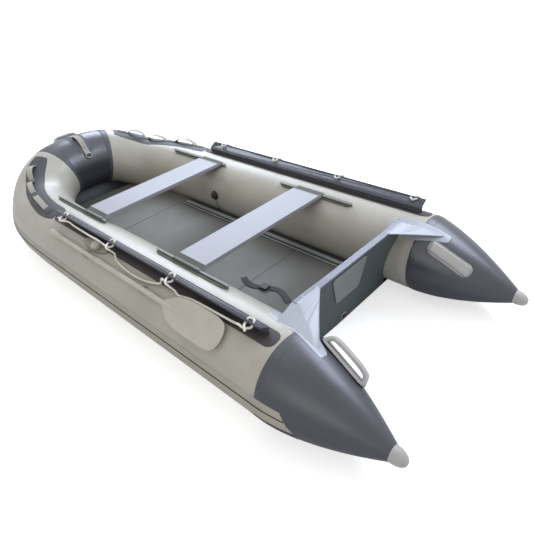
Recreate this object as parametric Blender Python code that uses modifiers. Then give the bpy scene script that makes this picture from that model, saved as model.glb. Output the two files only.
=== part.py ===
"""Inflatable dinghy: three air chambers in a horseshoe, stern cones, transom, plank floor, two benches, oars.

Metres. +X is the bow, +Y is port, +Z is up. The origin is at mid length on the ground under the keel.
"""

import math

import bmesh
import bpy
import numpy as np
from mathutils import Matrix, Vector

# Air chambers
TUBE_RADIUS = 0.21
TUBE_HALF_SPACING = 0.5638
STRAIGHT_LENGTH = 1.7591
BOW_REACH = 0.9125
BOW_RADIUS = 0.2045
BOW_RISE = 0.135
RISE_LENGTH = 0.3266
CONE_LENGTH = 0.487
CONE_END_RADIUS = 0.034
CAP_LENGTH = 0.056
CAP_END_RADIUS = 0.006
CONE_FULLNESS = 1.5
CAP_END_HEIGHT = 0.129
BAFFLE_THICKNESS = 0.002
BAFFLE_RADIUS = 0.19
BEND_FULLNESS = 2.79
RISE_POWER = 1.88
BOW_SEAM_TURN = math.radians(74.86)

# Clearances
SEAT_GAP = 0.0003
SKIN_GAP = 0.0008
CUT_OVERRUN = 0.05

# Facets
TUBE_SIDES = 32
BEND_STATIONS = 21
BOW_STATIONS = 5
CONE_STATIONS = 6
CAP_STATIONS = 3
BEND_SAMPLES = 1500
ROUND_STEPS = 16
WIRE_RESOLUTION = 2
GUSSET_ROW_STEPS = 4
WELD_DISTANCE = 1e-6
SCREW_MERGE = 0.0001
SHARP_ANGLE = math.radians(35)

# Rub strake, with angles from the top of the tube, positive outboard
STRAKE_THICKNESS = 0.007
STRAKE_FLANGE_THICKNESS = 0.003
STRAKE_ANGLES = (75.5, 103.1)
STRAKE_RIDGE_ANGLES = (87, 92.5)
STRAKE_RIDGE_SLOPE = 0.5
STRAKE_TAIL = 0.16
STRAKE_TAPER = 0.07
STRAKE_TIP_SHARE = 0.3

# Bottom fabric and keel tube
BOTTOM_THICKNESS = 0.003
BOTTOM_EDGE_ANGLE = -158
KEEL_HEIGHT = 0.0035
KEEL_FRONT = 0.2
KEEL_NOSE = 0.22
KEEL_NOSE_RADIUS = 0.015

# Floor
FLOOR_TOP = 0.109
PANEL_THICKNESS = 0.0115
FLOOR_JOINTS_AFT = (-0.0709, 0.4971, 1.0641)
STRINGER_TOP = 0.0035
STRINGER_WEB = 0.010
STRINGER_WIDTH = 0.0923
STRINGER_LIP_OVERLAP = 0.030
RIDGE_INNER_WIDTH = 0.007
RIDGE_SPACING = 0.029
RIDGE_OUTER_WIDTH = 0.024
RIDGE_HEIGHT = 0.005
STRINGER_FRONT_AFT = -0.036
STRINGER_REAR_AHEAD = 0.0642

# Transom, whose frame stands at the top of its aft face
TRANSOM_AHEAD = 0.073
TRANSOM_RISE = 0.025
TRANSOM_END_INSET = 0.1538
TRANSOM_THICKNESS = 0.0235
TRANSOM_RAKE = math.radians(12)
TRANSOM_CAP_WALL = 0.0025
TRANSOM_CAP_SKIRT = 0.010
MOTOR_PLATE_TOP_ENDS = (-0.101, 0.170)
MOTOR_PLATE_FOOT_ENDS = (-0.094, 0.088)
MOTOR_PLATE_HEIGHT = 0.199
MOTOR_PLATE_DROP = 0.031
MOTOR_PLATE_THICKNESS = 0.006
MOTOR_PLATE_CORNER = 0.02
DRAIN_OFFSET = -0.021
DRAIN_HEIGHT = 0.054
DRAIN_FLANGE_RADIUS = 0.021
DRAIN_FLANGE_THICKNESS = 0.004
DRAIN_SLEEVE_RADIUS = 0.0147
DRAIN_BORE_RADIUS = 0.0103
DRAIN_PLUG_HEAD_RADIUS = 0.015
DRAIN_PLUG_HEAD_THICKNESS = 0.008

# Fabric gussets from the transom to the tube and cone
GUSSET_THICKNESS = 0.0025
GUSSET_FRONT = 0.105
GUSSET_TAIL = 0.213
GUSSET_CAP_INSET = 0.2938
GUSSET_DROP = 0.006
GUSSET_FRONT_ANGLES = (-45, -19)
GUSSET_TAIL_ANGLES = (-24, -9)
GUSSET_SIDE_ANGLES = (-44, -13)
GUSSET_WEB_ANGLES = (-33, -15)
GUSSET_WEB_SHARES = (0, 0.25, 0.5, 0.75, 0.94)
GUSSET_CREST_SHARE = 0.6

# Benches and the tracks they slide on
SEAT_RISE = 0.01
SEAT_THICKNESS = 0.022
SEAT_WIDTH = 0.1975
SEAT_END_INSET = 0.1288
FRONT_SEAT_AFT = 0.1516
REAR_SEAT_AHEAD = 0.653
TRACK_ANGLE = math.radians(-23.5)
FRONT_TRACK_ENDS_AFT = (-0.2859, 0.2841)
REAR_TRACK_ENDS_AHEAD = (0.891, 0.353)
TRACK_BASE_WIDTH = 0.044
TRACK_BASE_HEIGHT = 0.008
TRACK_NECK_WIDTH = 0.006
TRACK_NECK_HEIGHT = 0.006
TRACK_HEAD_WIDTH = 0.016
TRACK_HEAD_HEIGHT = 0.005
SHOE_WALL = 0.004
SHOE_HOOK = 0.004
SHOE_PLAY = 0.0012

# Lifeline rails on their base patches
RAIL_ANGLE = math.radians(9.4)
RAIL_TILT = math.radians(32.8)
RAIL_HEIGHT = 0.0492
RAIL_WIDTH = 0.062
RAIL_THICKNESS = 0.008
RAIL_WEB = 0.012
RAIL_WEB_INSET = 0.0155
RAIL_FRONT_AFT = 0.012
RAIL_REAR_AHEAD = 0.067
RAIL_PATCH_FRONT_AFT = -0.0459
RAIL_PATCH_REAR_AHEAD = 0.015
RAIL_PATCH_ANGLES = (-1, 22)
RAIL_PATCH_CORNER = 0.035
RAIL_PATCH_REAR_SHARES = ((0, 0.35), (0.3, 0.75), (1, 1))
RAIL_PATCH_FRONT_SHARES = ((0.5, 1), (0, 0.6))
PATCH_THICKNESS = 0.0025
RAIL_HOLE_RADIUS = 0.0068
RAIL_HOLE_INSET = 0.0125

# Lifeline rope
ROPE_RADIUS = 0.005
ROPE_FIRST_AFT = 0.1251
ROPE_LAST_AHEAD = 0.0649
ROPE_STATIONS = 4
ROPE_HOLE_REACH = 0.0165
ROPE_STEP = 0.036

# Grab patches with three webbing loops on each shoulder
GRAB_PATCH_STATIONS = (1, 20)
GRAB_WEBBING_STATIONS = (3, 19)
GRAB_LOOP_STATIONS = ((4, 8), (10, 14), (15, 18))
GRAB_LOOP_HEIGHT = 0.034
GRAB_LOOP_STEPS = 2
GRAB_WEBBING_WIDTH = 0.036
GRAB_WEBBING_THICKNESS = 0.004
GRAB_WEBBING_ANGLES = (14, 0)
GRAB_WEBBING_BED_SHARE = 0.6
GRAB_LOOP_FULLNESS = 0.55

# Bow fittings
BOW_STRAP_WIDTH = 0.04
BOW_STRAP_THICKNESS = 0.0028
BOW_STRAP_ANGLES = (6, -58)
BOW_STRAP_ARCH_ANGLES = (-6, -46)
BOW_STRAP_ARCH = 0.022
BOW_STRAP_FULLNESS = 0.7
BOW_EYE_AHEAD_ANGLE = 1
BOW_EYE_RADIUS = 0.0058
BOW_EYE_BORE = 0.0032
D_RING_WIRE = 0.0025
D_RING_HALF_WIDTH = 0.024
D_RING_LENGTH = 0.034
D_RING_SHOULDER_SHARE = 0.3

# Moulded carry handles
HANDLE_LENGTH = 0.205
HANDLE_WIDTH = 0.06
HANDLE_HEIGHT = 0.042
HANDLE_BASE = 0.008
HANDLE_GRIP = 0.012
HANDLE_POST = 0.045
STERN_HANDLE_GROWTH = 1.2
STERN_HANDLE_ENDS = (0.085, 0.27)
STERN_HANDLE_ANGLES = (-41, -51)
BOW_HANDLE_ANGLE = 42

# Valves
VALVE_AFT = 0.2711
VALVE_ANGLE = -84.4
VALVE_FLANGE_RADIUS = 0.0325
VALVE_FLANGE_THICKNESS = 0.004
VALVE_COLLAR_RADIUS = 0.026
VALVE_COLLAR_HEIGHT = 0.009
VALVE_CAP_RADIUS = 0.023
VALVE_CAP_HEIGHT = 0.012

# Rowlocks
ROWLOCK_AFT = 0.4671
ROWLOCK_LENGTH = 0.24
ROWLOCK_WIDTH = 0.066
ROWLOCK_THICKNESS = 0.012
ROWLOCK_ANGLE = 23.5
ROWLOCK_KNOB_AFT = 0.5041
ROWLOCK_KNOB_RADIUS = 0.031
ROWLOCK_KNOB_HEIGHT = 0.03
ROWLOCK_FULLNESS = 0.75
KNOB_RIB_SHARE = 0.1
KNOB_CROWN_SHARE = 0.8

# Stowed oars and their clips
OAR_ANGLE = 39.4
OAR_SHAFT_RADIUS = 0.014
OAR_STANDOFF = 0.019
OAR_GRIP_RADIUS = 0.017
OAR_GRIP_LENGTH = 0.12
OAR_FRONT_AFT = 0.0671
OAR_JOINT_AFT = 1.0771
OAR_NECK_LENGTH = 0.073
OAR_BLADE_LENGTH = 0.384
OAR_BLADE_HALF_WIDTH = 0.075
OAR_BLADE_THICKNESS = 0.006
OAR_RIB_RADIUS = 0.011
OAR_RIB_START_SHARE = 0.1
OAR_RIB_END_SHARE = 0.7
OAR_CLIPS_AFT = (0.4441, 0.9711)
CLIP_LENGTH = 0.03
CLIP_PAD_HALF_WIDTH = 0.026
CLIP_PAD_THICKNESS = 0.003
CLIP_WALL = 0.004

# Strap and buckle lying on the floor
STRAP_WIDTH = 0.036
STRAP_THICKNESS = 0.0025
STRAP_FRONT_AHEAD = 0.679
STRAP_REAR_AHEAD = 0.325
STRAP_OFFSET = 0.105
STRAP_WANDER = 0.028
STRAP_TURN = math.radians(396)
BUCKLE_LENGTH = 0.05
BUCKLE_WIDTH = 0.046
BUCKLE_THICKNESS = 0.012
BUCKLE_AHEAD = 0.5161

# Places that follow from the tubes
TRANSOM_AFT = STRAIGHT_LENGTH - TRANSOM_AHEAD
TRANSOM_TOP = 2 * TUBE_RADIUS + TRANSOM_RISE
TRANSOM_HALF_WIDTH = TUBE_HALF_SPACING - TRANSOM_END_INSET
SEAT_TOP = 2 * TUBE_RADIUS + SEAT_RISE
SEAT_HALF_LENGTH = TUBE_HALF_SPACING - SEAT_END_INSET
REAR_SEAT_AFT = TRANSOM_AFT - REAR_SEAT_AHEAD
REAR_TRACK_ENDS_AFT = tuple(TRANSOM_AFT - end for end in REAR_TRACK_ENDS_AHEAD)
RAIL_REAR_AFT = STRAIGHT_LENGTH - RAIL_REAR_AHEAD
ROPE_PITCH = (RAIL_REAR_AFT - ROPE_LAST_AHEAD - ROPE_FIRST_AFT) / (ROPE_STATIONS - 1)
TOTAL_LENGTH = (
    STRAIGHT_LENGTH + CONE_LENGTH + CAP_LENGTH + BOW_REACH + BOW_RADIUS + STRAKE_THICKNESS + SKIN_GAP
)
SHOULDER_X = TOTAL_LENGTH / 2 - BOW_REACH - BOW_RADIUS - STRAKE_THICKNESS - SKIN_GAP
PORT = 1
STARBOARD = -1
SIDES = (("port", PORT), ("starboard", STARBOARD))


def bend_table():
    """Points along the bent centre line from the shoulder to the bow, with their distances."""
    turn = np.linspace(0, math.pi / 2, BEND_SAMPLES)
    power = 2 / BEND_FULLNESS
    reach = np.sin(turn) ** power
    x = SHOULDER_X + BOW_REACH * reach
    y = TUBE_HALF_SPACING * np.abs(np.cos(turn)) ** power
    y[-1] = 0
    rise = np.clip((x - SHOULDER_X - BOW_REACH) / RISE_LENGTH + 1, 0, 1) ** RISE_POWER
    points = np.stack([x, y, TUBE_RADIUS + BOW_RISE * rise], 1)
    steps = np.linalg.norm(np.diff(points, axis=0), axis=1)
    distance = np.concatenate([[0], np.cumsum(steps)])
    tangent = np.gradient(points, distance, axis=0)
    tangent[0] = (1, 0, 0)
    tangent[-1] = (0, -1, 0)
    radius = TUBE_RADIUS + (BOW_RADIUS - TUBE_RADIUS) * reach
    return {"turn": turn, "distance": distance, "points": points, "tangent": tangent, "radius": radius}


BEND = bend_table()
BOW_DISTANCE = float(BEND["distance"][-1])
SEAM_DISTANCE = float(np.interp(BOW_SEAM_TURN, BEND["turn"], BEND["distance"]))
STATION_STEP = SEAM_DISTANCE / BEND_STATIONS


def centre_frame(distance):
    """Centre, tangent, outboard, up and radius at a distance forward of the shoulder along the port tube."""
    if distance < -STRAIGHT_LENGTH:
        aft = -STRAIGHT_LENGTH - distance
        share = aft / (CONE_LENGTH + CAP_LENGTH)
        height = TUBE_RADIUS + (CAP_END_HEIGHT - TUBE_RADIUS) * share
        radius = TUBE_RADIUS + (CONE_END_RADIUS - TUBE_RADIUS) * (aft / CONE_LENGTH) ** CONE_FULLNESS
        if aft > CONE_LENGTH:
            round_share = math.sqrt(max(0, 1 - ((aft - CONE_LENGTH) / CAP_LENGTH) ** 2))
            radius = CAP_END_RADIUS + (CONE_END_RADIUS - CAP_END_RADIUS) * round_share
        centre = np.array([SHOULDER_X + distance, TUBE_HALF_SPACING, height])
        tangent = np.array([1.0, 0, 0])
    elif distance <= 0:
        centre = np.array([SHOULDER_X + distance, TUBE_HALF_SPACING, TUBE_RADIUS])
        tangent = np.array([1.0, 0, 0])
        radius = TUBE_RADIUS
    else:
        centre = np.array([np.interp(distance, BEND["distance"], BEND["points"][:, k]) for k in range(3)])
        tangent = np.array([np.interp(distance, BEND["distance"], BEND["tangent"][:, k]) for k in range(3)])
        tangent /= np.linalg.norm(tangent)
        radius = float(np.interp(distance, BEND["distance"], BEND["radius"]))
    outboard = np.array([-tangent[1], tangent[0], 0])
    outboard /= np.linalg.norm(outboard)
    return centre, tangent, outboard, np.cross(tangent, outboard), radius


def tube_point(distance, degrees, lift=0, side=PORT, shift=0):
    """A point at a lift over the tube's skin, at an angle from its top that is positive outboard."""
    centre, tangent, outboard, up, radius = centre_frame(distance)
    angle = math.radians(degrees)
    spoke = math.sin(angle) * outboard + math.cos(angle) * up
    point = centre + (radius + lift) * spoke + shift * tangent
    return Vector((point[0], point[1] * side, point[2]))


def tube_frame(distance, degrees, lift=0, side=PORT):
    """A matrix on the skin whose x runs forward along the tube and whose z points away from it."""
    centre, tangent, outboard, up, radius = centre_frame(distance)
    angle = math.radians(degrees)
    normal = math.sin(angle) * outboard + math.cos(angle) * up
    flip = np.array([1, side, 1])
    point = (centre + (radius + lift) * normal) * flip
    return frame_matrix(point, tangent * flip, normal * flip)


def frame_matrix(origin, along, normal):
    along = Vector(along).normalized()
    normal = Vector(normal)
    normal = (normal - along * normal.dot(along)).normalized()
    across = normal.cross(along)
    matrix = Matrix((along, across, normal)).transposed().to_4x4()
    matrix.translation = Vector(origin)
    return matrix


def ring(distance, lift=0, side=PORT, shift=0, share=1):
    """One whole section of the tube, or of a smaller disc when share is under 1."""
    centre = centre_frame(distance)
    shrink = centre[4] * (share - 1)
    angles = [360 * k / TUBE_SIDES for k in range(TUBE_SIDES)]
    return [tube_point(distance, angle, lift + shrink, side, shift) for angle in angles]


def facet_drop(degrees, radius=TUBE_RADIUS):
    """How far the flats of a faceted section lie inside its circle, at an angle from the top."""
    half = math.pi / TUBE_SIDES
    offset = math.radians(degrees) % (2 * half) - half
    return radius * (1 - math.cos(half) / math.cos(offset))


def seat_lift(degrees):
    """The lift of a flat foot that rests on the straight tube's flat at an angle."""
    return SEAT_GAP - facet_drop(degrees)


def bend_stations():
    return [STATION_STEP * k for k in range(BEND_STATIONS)]


def bow_stations():
    """Distances from the seam to the bow, without the seam itself."""
    step = (BOW_DISTANCE - SEAM_DISTANCE) / BOW_STATIONS
    return [SEAM_DISTANCE + step * (k + 1) for k in range(BOW_STATIONS)]


def cone_stations():
    """Distances from the side tube's end to the cone's end."""
    return [-STRAIGHT_LENGTH - CONE_LENGTH * k / CONE_STATIONS for k in range(CONE_STATIONS + 1)]


def aft(distance):
    """The X of a place that lies this far aft of the shoulder."""
    return SHOULDER_X - distance


# Scene helpers


def clear_scene():
    for obj in list(bpy.data.objects):
        bpy.data.objects.remove(obj, do_unlink=True)


def make_collection(name):
    collection = bpy.data.collections.new(name)
    bpy.context.scene.collection.children.link(collection)
    return collection


def look(name, colour, roughness, metallic=0.0):
    material = bpy.data.materials.new(name)
    material.use_nodes = True
    shader = material.node_tree.nodes["Principled BSDF"]
    shader.inputs["Base Color"].default_value = (*colour, 1)
    shader.inputs["Roughness"].default_value = roughness
    shader.inputs["Metallic"].default_value = metallic
    return material


def add_object(name, data, material, matrix=None):
    obj = bpy.data.objects.new(name, data)
    if matrix is not None:
        obj.matrix_world = matrix
    if material is None:
        CUTTERS.objects.link(obj)
        obj.hide_render = True
        obj.display_type = "WIRE"
    else:
        PARTS.objects.link(obj)
        data.materials.append(material)
    return obj


def mesh_of(name, points, faces):
    mesh = bpy.data.meshes.new(name)
    mesh.from_pydata([tuple(point) for point in points], [], faces)
    return tidy_mesh(mesh)


def tidy_mesh(mesh):
    """Welds what coincides, turns every face outward and shades round sides smooth."""
    work = bmesh.new()
    work.from_mesh(mesh)
    bmesh.ops.remove_doubles(work, verts=work.verts, dist=WELD_DISTANCE)
    bmesh.ops.recalc_face_normals(work, faces=work.faces)
    work.to_mesh(mesh)
    work.free()
    mesh.shade_smooth()
    mesh.set_sharp_from_angle(angle=SHARP_ANGLE)
    return mesh


def loft(name, sections, material):
    """A solid skinned over sections of equal point counts, closed by its first and last section."""
    count = len(sections[0])
    points = [point for section in sections for point in section]
    faces = []
    for row in range(len(sections) - 1):
        for k in range(count):
            after = (k + 1) % count
            low = row * count
            high = low + count
            faces.append((low + k, low + after, high + after, high + k))
    faces.append(tuple(range(count)))
    faces.append(tuple(range(len(points) - count, len(points))))
    return add_object(name, mesh_of(name, points, faces), material)


def plate(name, outlines, thickness, material, matrix):
    """A flat outline, with any holes as further outlines, centred on its frame's x-y plane."""
    curve = bpy.data.curves.new(name, "CURVE")
    curve.dimensions = "2D"
    curve.fill_mode = "BOTH"
    curve.extrude = thickness / 2
    for outline in outlines:
        spline = curve.splines.new("POLY")
        spline.points.add(len(outline) - 1)
        for point, (x, y) in zip(spline.points, outline):
            point.co = (x, y, 0, 1)
        spline.use_cyclic_u = True
    return mesh_from_curve(name, curve, material, matrix)


def mesh_from_curve(name, curve, material, matrix):
    guide = bpy.data.objects.new(name + "_guide", curve)
    CUTTERS.objects.link(guide)
    graph = bpy.context.evaluated_depsgraph_get()
    mesh = bpy.data.meshes.new_from_object(guide.evaluated_get(graph))
    bpy.data.objects.remove(guide)
    bpy.data.curves.remove(curve)
    mesh.name = name
    mesh.materials.clear()
    return add_object(name, tidy_mesh(mesh), material, matrix)


def wire(name, points, radius, material, closed=False):
    curve = bpy.data.curves.new(name, "CURVE")
    curve.dimensions = "3D"
    curve.bevel_depth = radius
    curve.bevel_resolution = WIRE_RESOLUTION
    curve.use_fill_caps = not closed
    spline = curve.splines.new("POLY")
    spline.points.add(len(points) - 1)
    for point, place in zip(spline.points, points):
        point.co = (*place, 1)
    spline.use_cyclic_u = closed
    return mesh_from_curve(name, curve, material, Matrix())


def along_x(front, rear):
    """A frame for outlines drawn in (y, z) that are extruded from the rear X to the front X."""
    matrix = Matrix(((0, 0, 1), (1, 0, 0), (0, 1, 0))).to_4x4()
    matrix.translation = Vector(((front + rear) / 2, 0, 0))
    return matrix


def bar(name, outline, front, rear, material):
    return plate(name, [outline], front - rear, material, along_x(front, rear))


def turned(name, profile, material, matrix, closed=False, steps=ROUND_STEPS):
    """A profile of (radius, height) points, running down its outer side, turned about its frame's z."""
    edges = [(k, k + 1) for k in range(len(profile) - 1)]
    if closed:
        edges.append((len(profile) - 1, 0))
    mesh = bpy.data.meshes.new(name)
    mesh.from_pydata([(radius, 0, height) for radius, height in profile], edges, [])
    obj = add_object(name, mesh, material, matrix)
    screw = obj.modifiers.new("turn", "SCREW")
    screw.steps = steps
    screw.render_steps = steps
    screw.use_merge_vertices = True
    screw.merge_threshold = SCREW_MERGE
    return obj


def boolean(obj, tool, operation):
    modifier = obj.modifiers.new(tool.name, "BOOLEAN")
    modifier.object = tool
    modifier.operation = operation


def rounded_rectangle(length, width, corner, steps=4):
    points = []
    for quarter, (sx, sy) in enumerate(((1, 1), (-1, 1), (-1, -1), (1, -1))):
        centre = (sx * (length / 2 - corner), sy * (width / 2 - corner))
        for k in range(steps + 1):
            angle = math.radians(90 * (quarter + k / steps))
            points.append((centre[0] + corner * math.cos(angle), centre[1] + corner * math.sin(angle)))
    return points


def rounded_corners(corners, reach, steps=3):
    """An outline through corners that are rounded from this far before each to this far behind it."""
    points = []
    for k, corner in enumerate(corners):
        start = corner + (corners[k - 1] - corner).normalized() * reach
        end = corner + (corners[(k + 1) % len(corners)] - corner).normalized() * reach
        for j in range(steps + 1):
            share = j / steps
            points.append(tuple(start.lerp(corner, share).lerp(corner.lerp(end, share), share)))
    return points


def lobed_outline(radius, lobes, depth_share):
    """A hand knob's outline, with ribs round it."""
    points = []
    for k in range(lobes * 4):
        reach = radius * (1 - depth_share * (k % 4 in (2, 3)))
        angle = 2 * math.pi * k / (lobes * 4)
        points.append((reach * math.cos(angle), reach * math.sin(angle)))
    return points


def disc(outline, height, share=1):
    return [Vector((x * share, y * share, height)) for x, y in outline]


def knob(name, radius, height, lobes, material, matrix):
    """A ribbed knob with a bevelled crown, standing on its frame's x-y plane."""
    outline = lobed_outline(radius, lobes, KNOB_RIB_SHARE)
    heights = (0, height * KNOB_CROWN_SHARE, height)
    shares = (1, 1, KNOB_CROWN_SHARE)
    placed = [[matrix @ point for point in disc(outline, h, s)] for h, s in zip(heights, shares)]
    obj = loft(name, placed, material)
    obj.data.transform(matrix.inverted())
    obj.matrix_world = matrix
    return obj


# Air chambers


def side_tube(name, side, material):
    joint = BAFFLE_THICKNESS / 2 + SEAT_GAP
    sections = [ring(-STRAIGHT_LENGTH, side=side)]
    sections += [ring(distance, side=side) for distance in bend_stations()]
    sections.append(ring(SEAM_DISTANCE, side=side, shift=-joint))
    return loft(name, sections, material)


def bow_tube(material):
    joint = BAFFLE_THICKNESS / 2 + SEAT_GAP
    port = [ring(SEAM_DISTANCE, shift=joint)] + [ring(distance) for distance in bow_stations()]
    starboard = [ring(distance, side=STARBOARD) for distance in bow_stations()[:-1]]
    starboard = [ring(SEAM_DISTANCE, side=STARBOARD, shift=joint)] + starboard
    return loft("bow_tube", port + starboard[::-1], material)


def bow_baffle(name, side, material):
    share = BAFFLE_RADIUS / centre_frame(SEAM_DISTANCE)[4]
    half = BAFFLE_THICKNESS / 2
    faces = [ring(SEAM_DISTANCE, side=side, shift=shift, share=share) for shift in (-half, half)]
    return loft(name, faces, material)


def stern_cone(name, side, material):
    sections = [ring(distance, side=side) for distance in cone_stations()]
    sections[0] = ring(-STRAIGHT_LENGTH - SEAT_GAP, side=side)
    return loft(name, sections, material)


def cone_cap(name, side, material):
    start = -STRAIGHT_LENGTH - CONE_LENGTH - SEAT_GAP
    end = -STRAIGHT_LENGTH - CONE_LENGTH - CAP_LENGTH
    sections = [ring(start + (end - start) * k / CAP_STATIONS, side=side) for k in range(CAP_STATIONS + 1)]
    return loft(name, sections, material)


def strake_marks():
    """(angle, thickness) pairs across the strake, with one at each corner of the faceted tube."""
    low, high = STRAKE_ANGLES
    ridge_low, ridge_high = STRAKE_RIDGE_ANGLES
    flange = STRAKE_FLANGE_THICKNESS
    stops = {low: flange, high: flange}
    stops[ridge_low - STRAKE_RIDGE_SLOPE] = flange
    stops[ridge_high + STRAKE_RIDGE_SLOPE] = flange
    stops[ridge_low] = STRAKE_THICKNESS
    stops[ridge_high] = STRAKE_THICKNESS
    step = 360 / TUBE_SIDES
    for k in range(math.ceil(low / step), math.floor(high / step) + 1):
        on_ridge = ridge_low <= k * step <= ridge_high
        stops[k * step] = STRAKE_THICKNESS if on_ridge else flange
    return sorted(stops.items())


def strake_section(distance, side, width_share=1):
    middle = sum(STRAKE_ANGLES) / 2
    marks = [(blend(middle, angle, width_share), thickness) for angle, thickness in strake_marks()]
    inner = [tube_point(distance, angle, SKIN_GAP, side) for angle, _ in marks]
    outer = [tube_point(distance, angle, SKIN_GAP + thickness, side) for angle, thickness in marks]
    return inner + outer[::-1]


def rub_strake(material):
    """One band from cone to cone round the bow: a ridge between two flanges, with pointed tails."""
    tail = -STRAIGHT_LENGTH - STRAKE_TAIL
    full = tail + STRAKE_TAPER
    distances = [full] + [distance for distance in cone_stations()[::-1] if distance > full]
    distances += bend_stations() + [SEAM_DISTANCE] + bow_stations()
    sides = {}
    for side in (PORT, STARBOARD):
        sides[side] = [strake_section(tail, side, STRAKE_TIP_SHARE)]
        sides[side] += [strake_section(distance, side) for distance in distances]
    return loft("rub_strake", sides[PORT] + sides[STARBOARD][-2::-1], material)


# Bottom and floor


def bottom_edge(distance, side=PORT):
    """The bottom fabric's top and lower corners where it meets the tube."""
    turn = math.degrees(BOTTOM_THICKNESS / TUBE_RADIUS)
    return [tube_point(distance, BOTTOM_EDGE_ANGLE - part, SEAT_GAP, side) for part in (0, turn)]


def bottom_middle(distance):
    """The height of the fabric's top face over the keel line, where the edges stand at this distance."""
    first = bottom_edge(0)[0]
    edge = bottom_edge(distance)[0]
    drop = first.z - KEEL_HEIGHT - BOTTOM_THICKNESS
    return edge.z - drop * edge.y / first.y


def transom_foot():
    """The X of the transom board's lower aft edge, where the bottom fabric ends."""
    return aft(TRANSOM_AFT) + (TRANSOM_TOP - KEEL_HEIGHT) * math.tan(TRANSOM_RAKE)


def hull_bottom(material):
    """A sheet from tube to tube, shaped as a shallow V, that rises with the bow."""
    start = transom_foot() - SHOULDER_X
    distances = [start] + bend_stations() + [SEAM_DISTANCE] + bow_stations()[:-1]
    sections = []
    for distance in distances:
        port_top, port_low = bottom_edge(distance)
        starboard_top, starboard_low = bottom_edge(distance, STARBOARD)
        middle = bottom_middle(distance)
        top = Vector((port_top.x, 0, middle))
        low = Vector((port_top.x, 0, middle - BOTTOM_THICKNESS))
        sections.append([port_top, top, starboard_top, starboard_low, low, port_low])
    return loft("hull_bottom", sections, material)


def keel_radius():
    edge = bottom_edge(0)[0]
    slope = math.atan2(edge.z - bottom_middle(0), edge.y)
    space = FLOOR_TOP - PANEL_THICKNESS - bottom_middle(KEEL_FRONT)
    lean = 1 / math.cos(slope)
    return (space - SEAT_GAP * (1 + lean)) / (1 + lean)


def keel_tube(material):
    """The round keel chamber between the bottom fabric and the floor, with a tapered nose."""
    radius = keel_radius()
    height = FLOOR_TOP - PANEL_THICKNESS - SEAT_GAP - radius
    rear = transom_foot() + 2 * TRANSOM_THICKNESS
    front = SHOULDER_X + KEEL_FRONT
    stops = ((rear, radius), (front, radius), (front + KEEL_NOSE, KEEL_NOSE_RADIUS))
    sections = []
    for x, size in stops:
        angles = [2 * math.pi * k / ROUND_STEPS for k in range(ROUND_STEPS)]
        centre = height + radius - size
        sections.append([Vector((x, size * math.sin(a), centre + size * math.cos(a))) for a in angles])
    return loft("keel_tube", sections, material)


def tube_wall(height, distance=0):
    """How far inboard of the centre line the tube's skin is, at a height under its centre."""
    centre, _, _, up, radius = centre_frame(distance)
    return math.sqrt(max(0, radius**2 - ((centre[2] - height) / up[2]) ** 2))


def stringer_outer():
    return TUBE_HALF_SPACING - tube_wall(FLOOR_TOP + SEAT_GAP + STRINGER_TOP) - SEAT_GAP


def stringer_inner():
    return stringer_outer() - STRINGER_WIDTH


def panel_half_width():
    return stringer_outer() - STRINGER_WEB - SEAT_GAP


def panel_plate(name, outline, material):
    matrix = Matrix.Translation((0, 0, FLOOR_TOP - PANEL_THICKNESS / 2))
    return plate(name, [outline], PANEL_THICKNESS, material, matrix)


def floor_panel(name, front, rear, material):
    half = panel_half_width()
    front -= SEAT_GAP / 2
    rear += SEAT_GAP / 2
    return panel_plate(name, [(rear, -half), (front, -half), (front, half), (rear, half)], material)


def wall_point(height, distance):
    """The (x, y) of the port tube's inner wall at a height, with a gap to it."""
    centre, _, outboard, up, _ = centre_frame(distance)
    point = centre - outboard * (tube_wall(height, distance) + SKIN_GAP) - up * ((centre[2] - height) / up[2])
    return (float(point[0]), float(point[1]))


def bow_floor_panel(material):
    """The front panel, whose edge follows the tubes' inner walls."""
    rear = aft(FLOOR_JOINTS_AFT[0]) + SEAT_GAP / 2
    distances = [0.0] + bend_stations()[1:] + [SEAM_DISTANCE]
    clear = [d for d in distances if bottom_edge(d)[0].z < FLOOR_TOP - 2 * PANEL_THICKNESS]
    wall = [wall_point(FLOOR_TOP, distance) for distance in clear]
    start = float(np.interp(rear, [x for x, _ in wall], [y for _, y in wall]))
    edge = [(rear, start)] + [(x, y) for x, y in wall if x > rear]
    outline = edge + [(x, -y) for x, y in edge[::-1]]
    return panel_plate("bow_floor_panel", outline, material)


def floor_stringer(name, side, material):
    """A channel that grips the panels' edges, with two ridges along its top."""
    outer = stringer_outer()
    inner = stringer_inner()
    crest = inner + RIDGE_SPACING
    top = FLOOR_TOP + SEAT_GAP + STRINGER_TOP
    under = FLOOR_TOP - PANEL_THICKNESS - SEAT_GAP
    lip = panel_half_width() - STRINGER_LIP_OVERLAP
    ridge = top + RIDGE_HEIGHT
    outline = [
        (inner, FLOOR_TOP + SEAT_GAP),
        (inner, ridge),
        (inner + RIDGE_INNER_WIDTH, ridge),
        (inner + RIDGE_INNER_WIDTH, top),
        (crest, top),
        (crest, ridge),
        (crest + RIDGE_OUTER_WIDTH, ridge),
        (crest + RIDGE_OUTER_WIDTH, top),
        (outer, top),
        (outer, under - STRINGER_TOP),
        (lip, under - STRINGER_TOP),
        (lip, under),
        (outer - STRINGER_WEB, under),
        (outer - STRINGER_WEB, FLOOR_TOP + SEAT_GAP),
    ]
    outline = [(y * side, z) for y, z in outline]
    return bar(name, outline, aft(STRINGER_FRONT_AFT), transom_foot() + STRINGER_REAR_AHEAD, material)


# Transom


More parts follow.
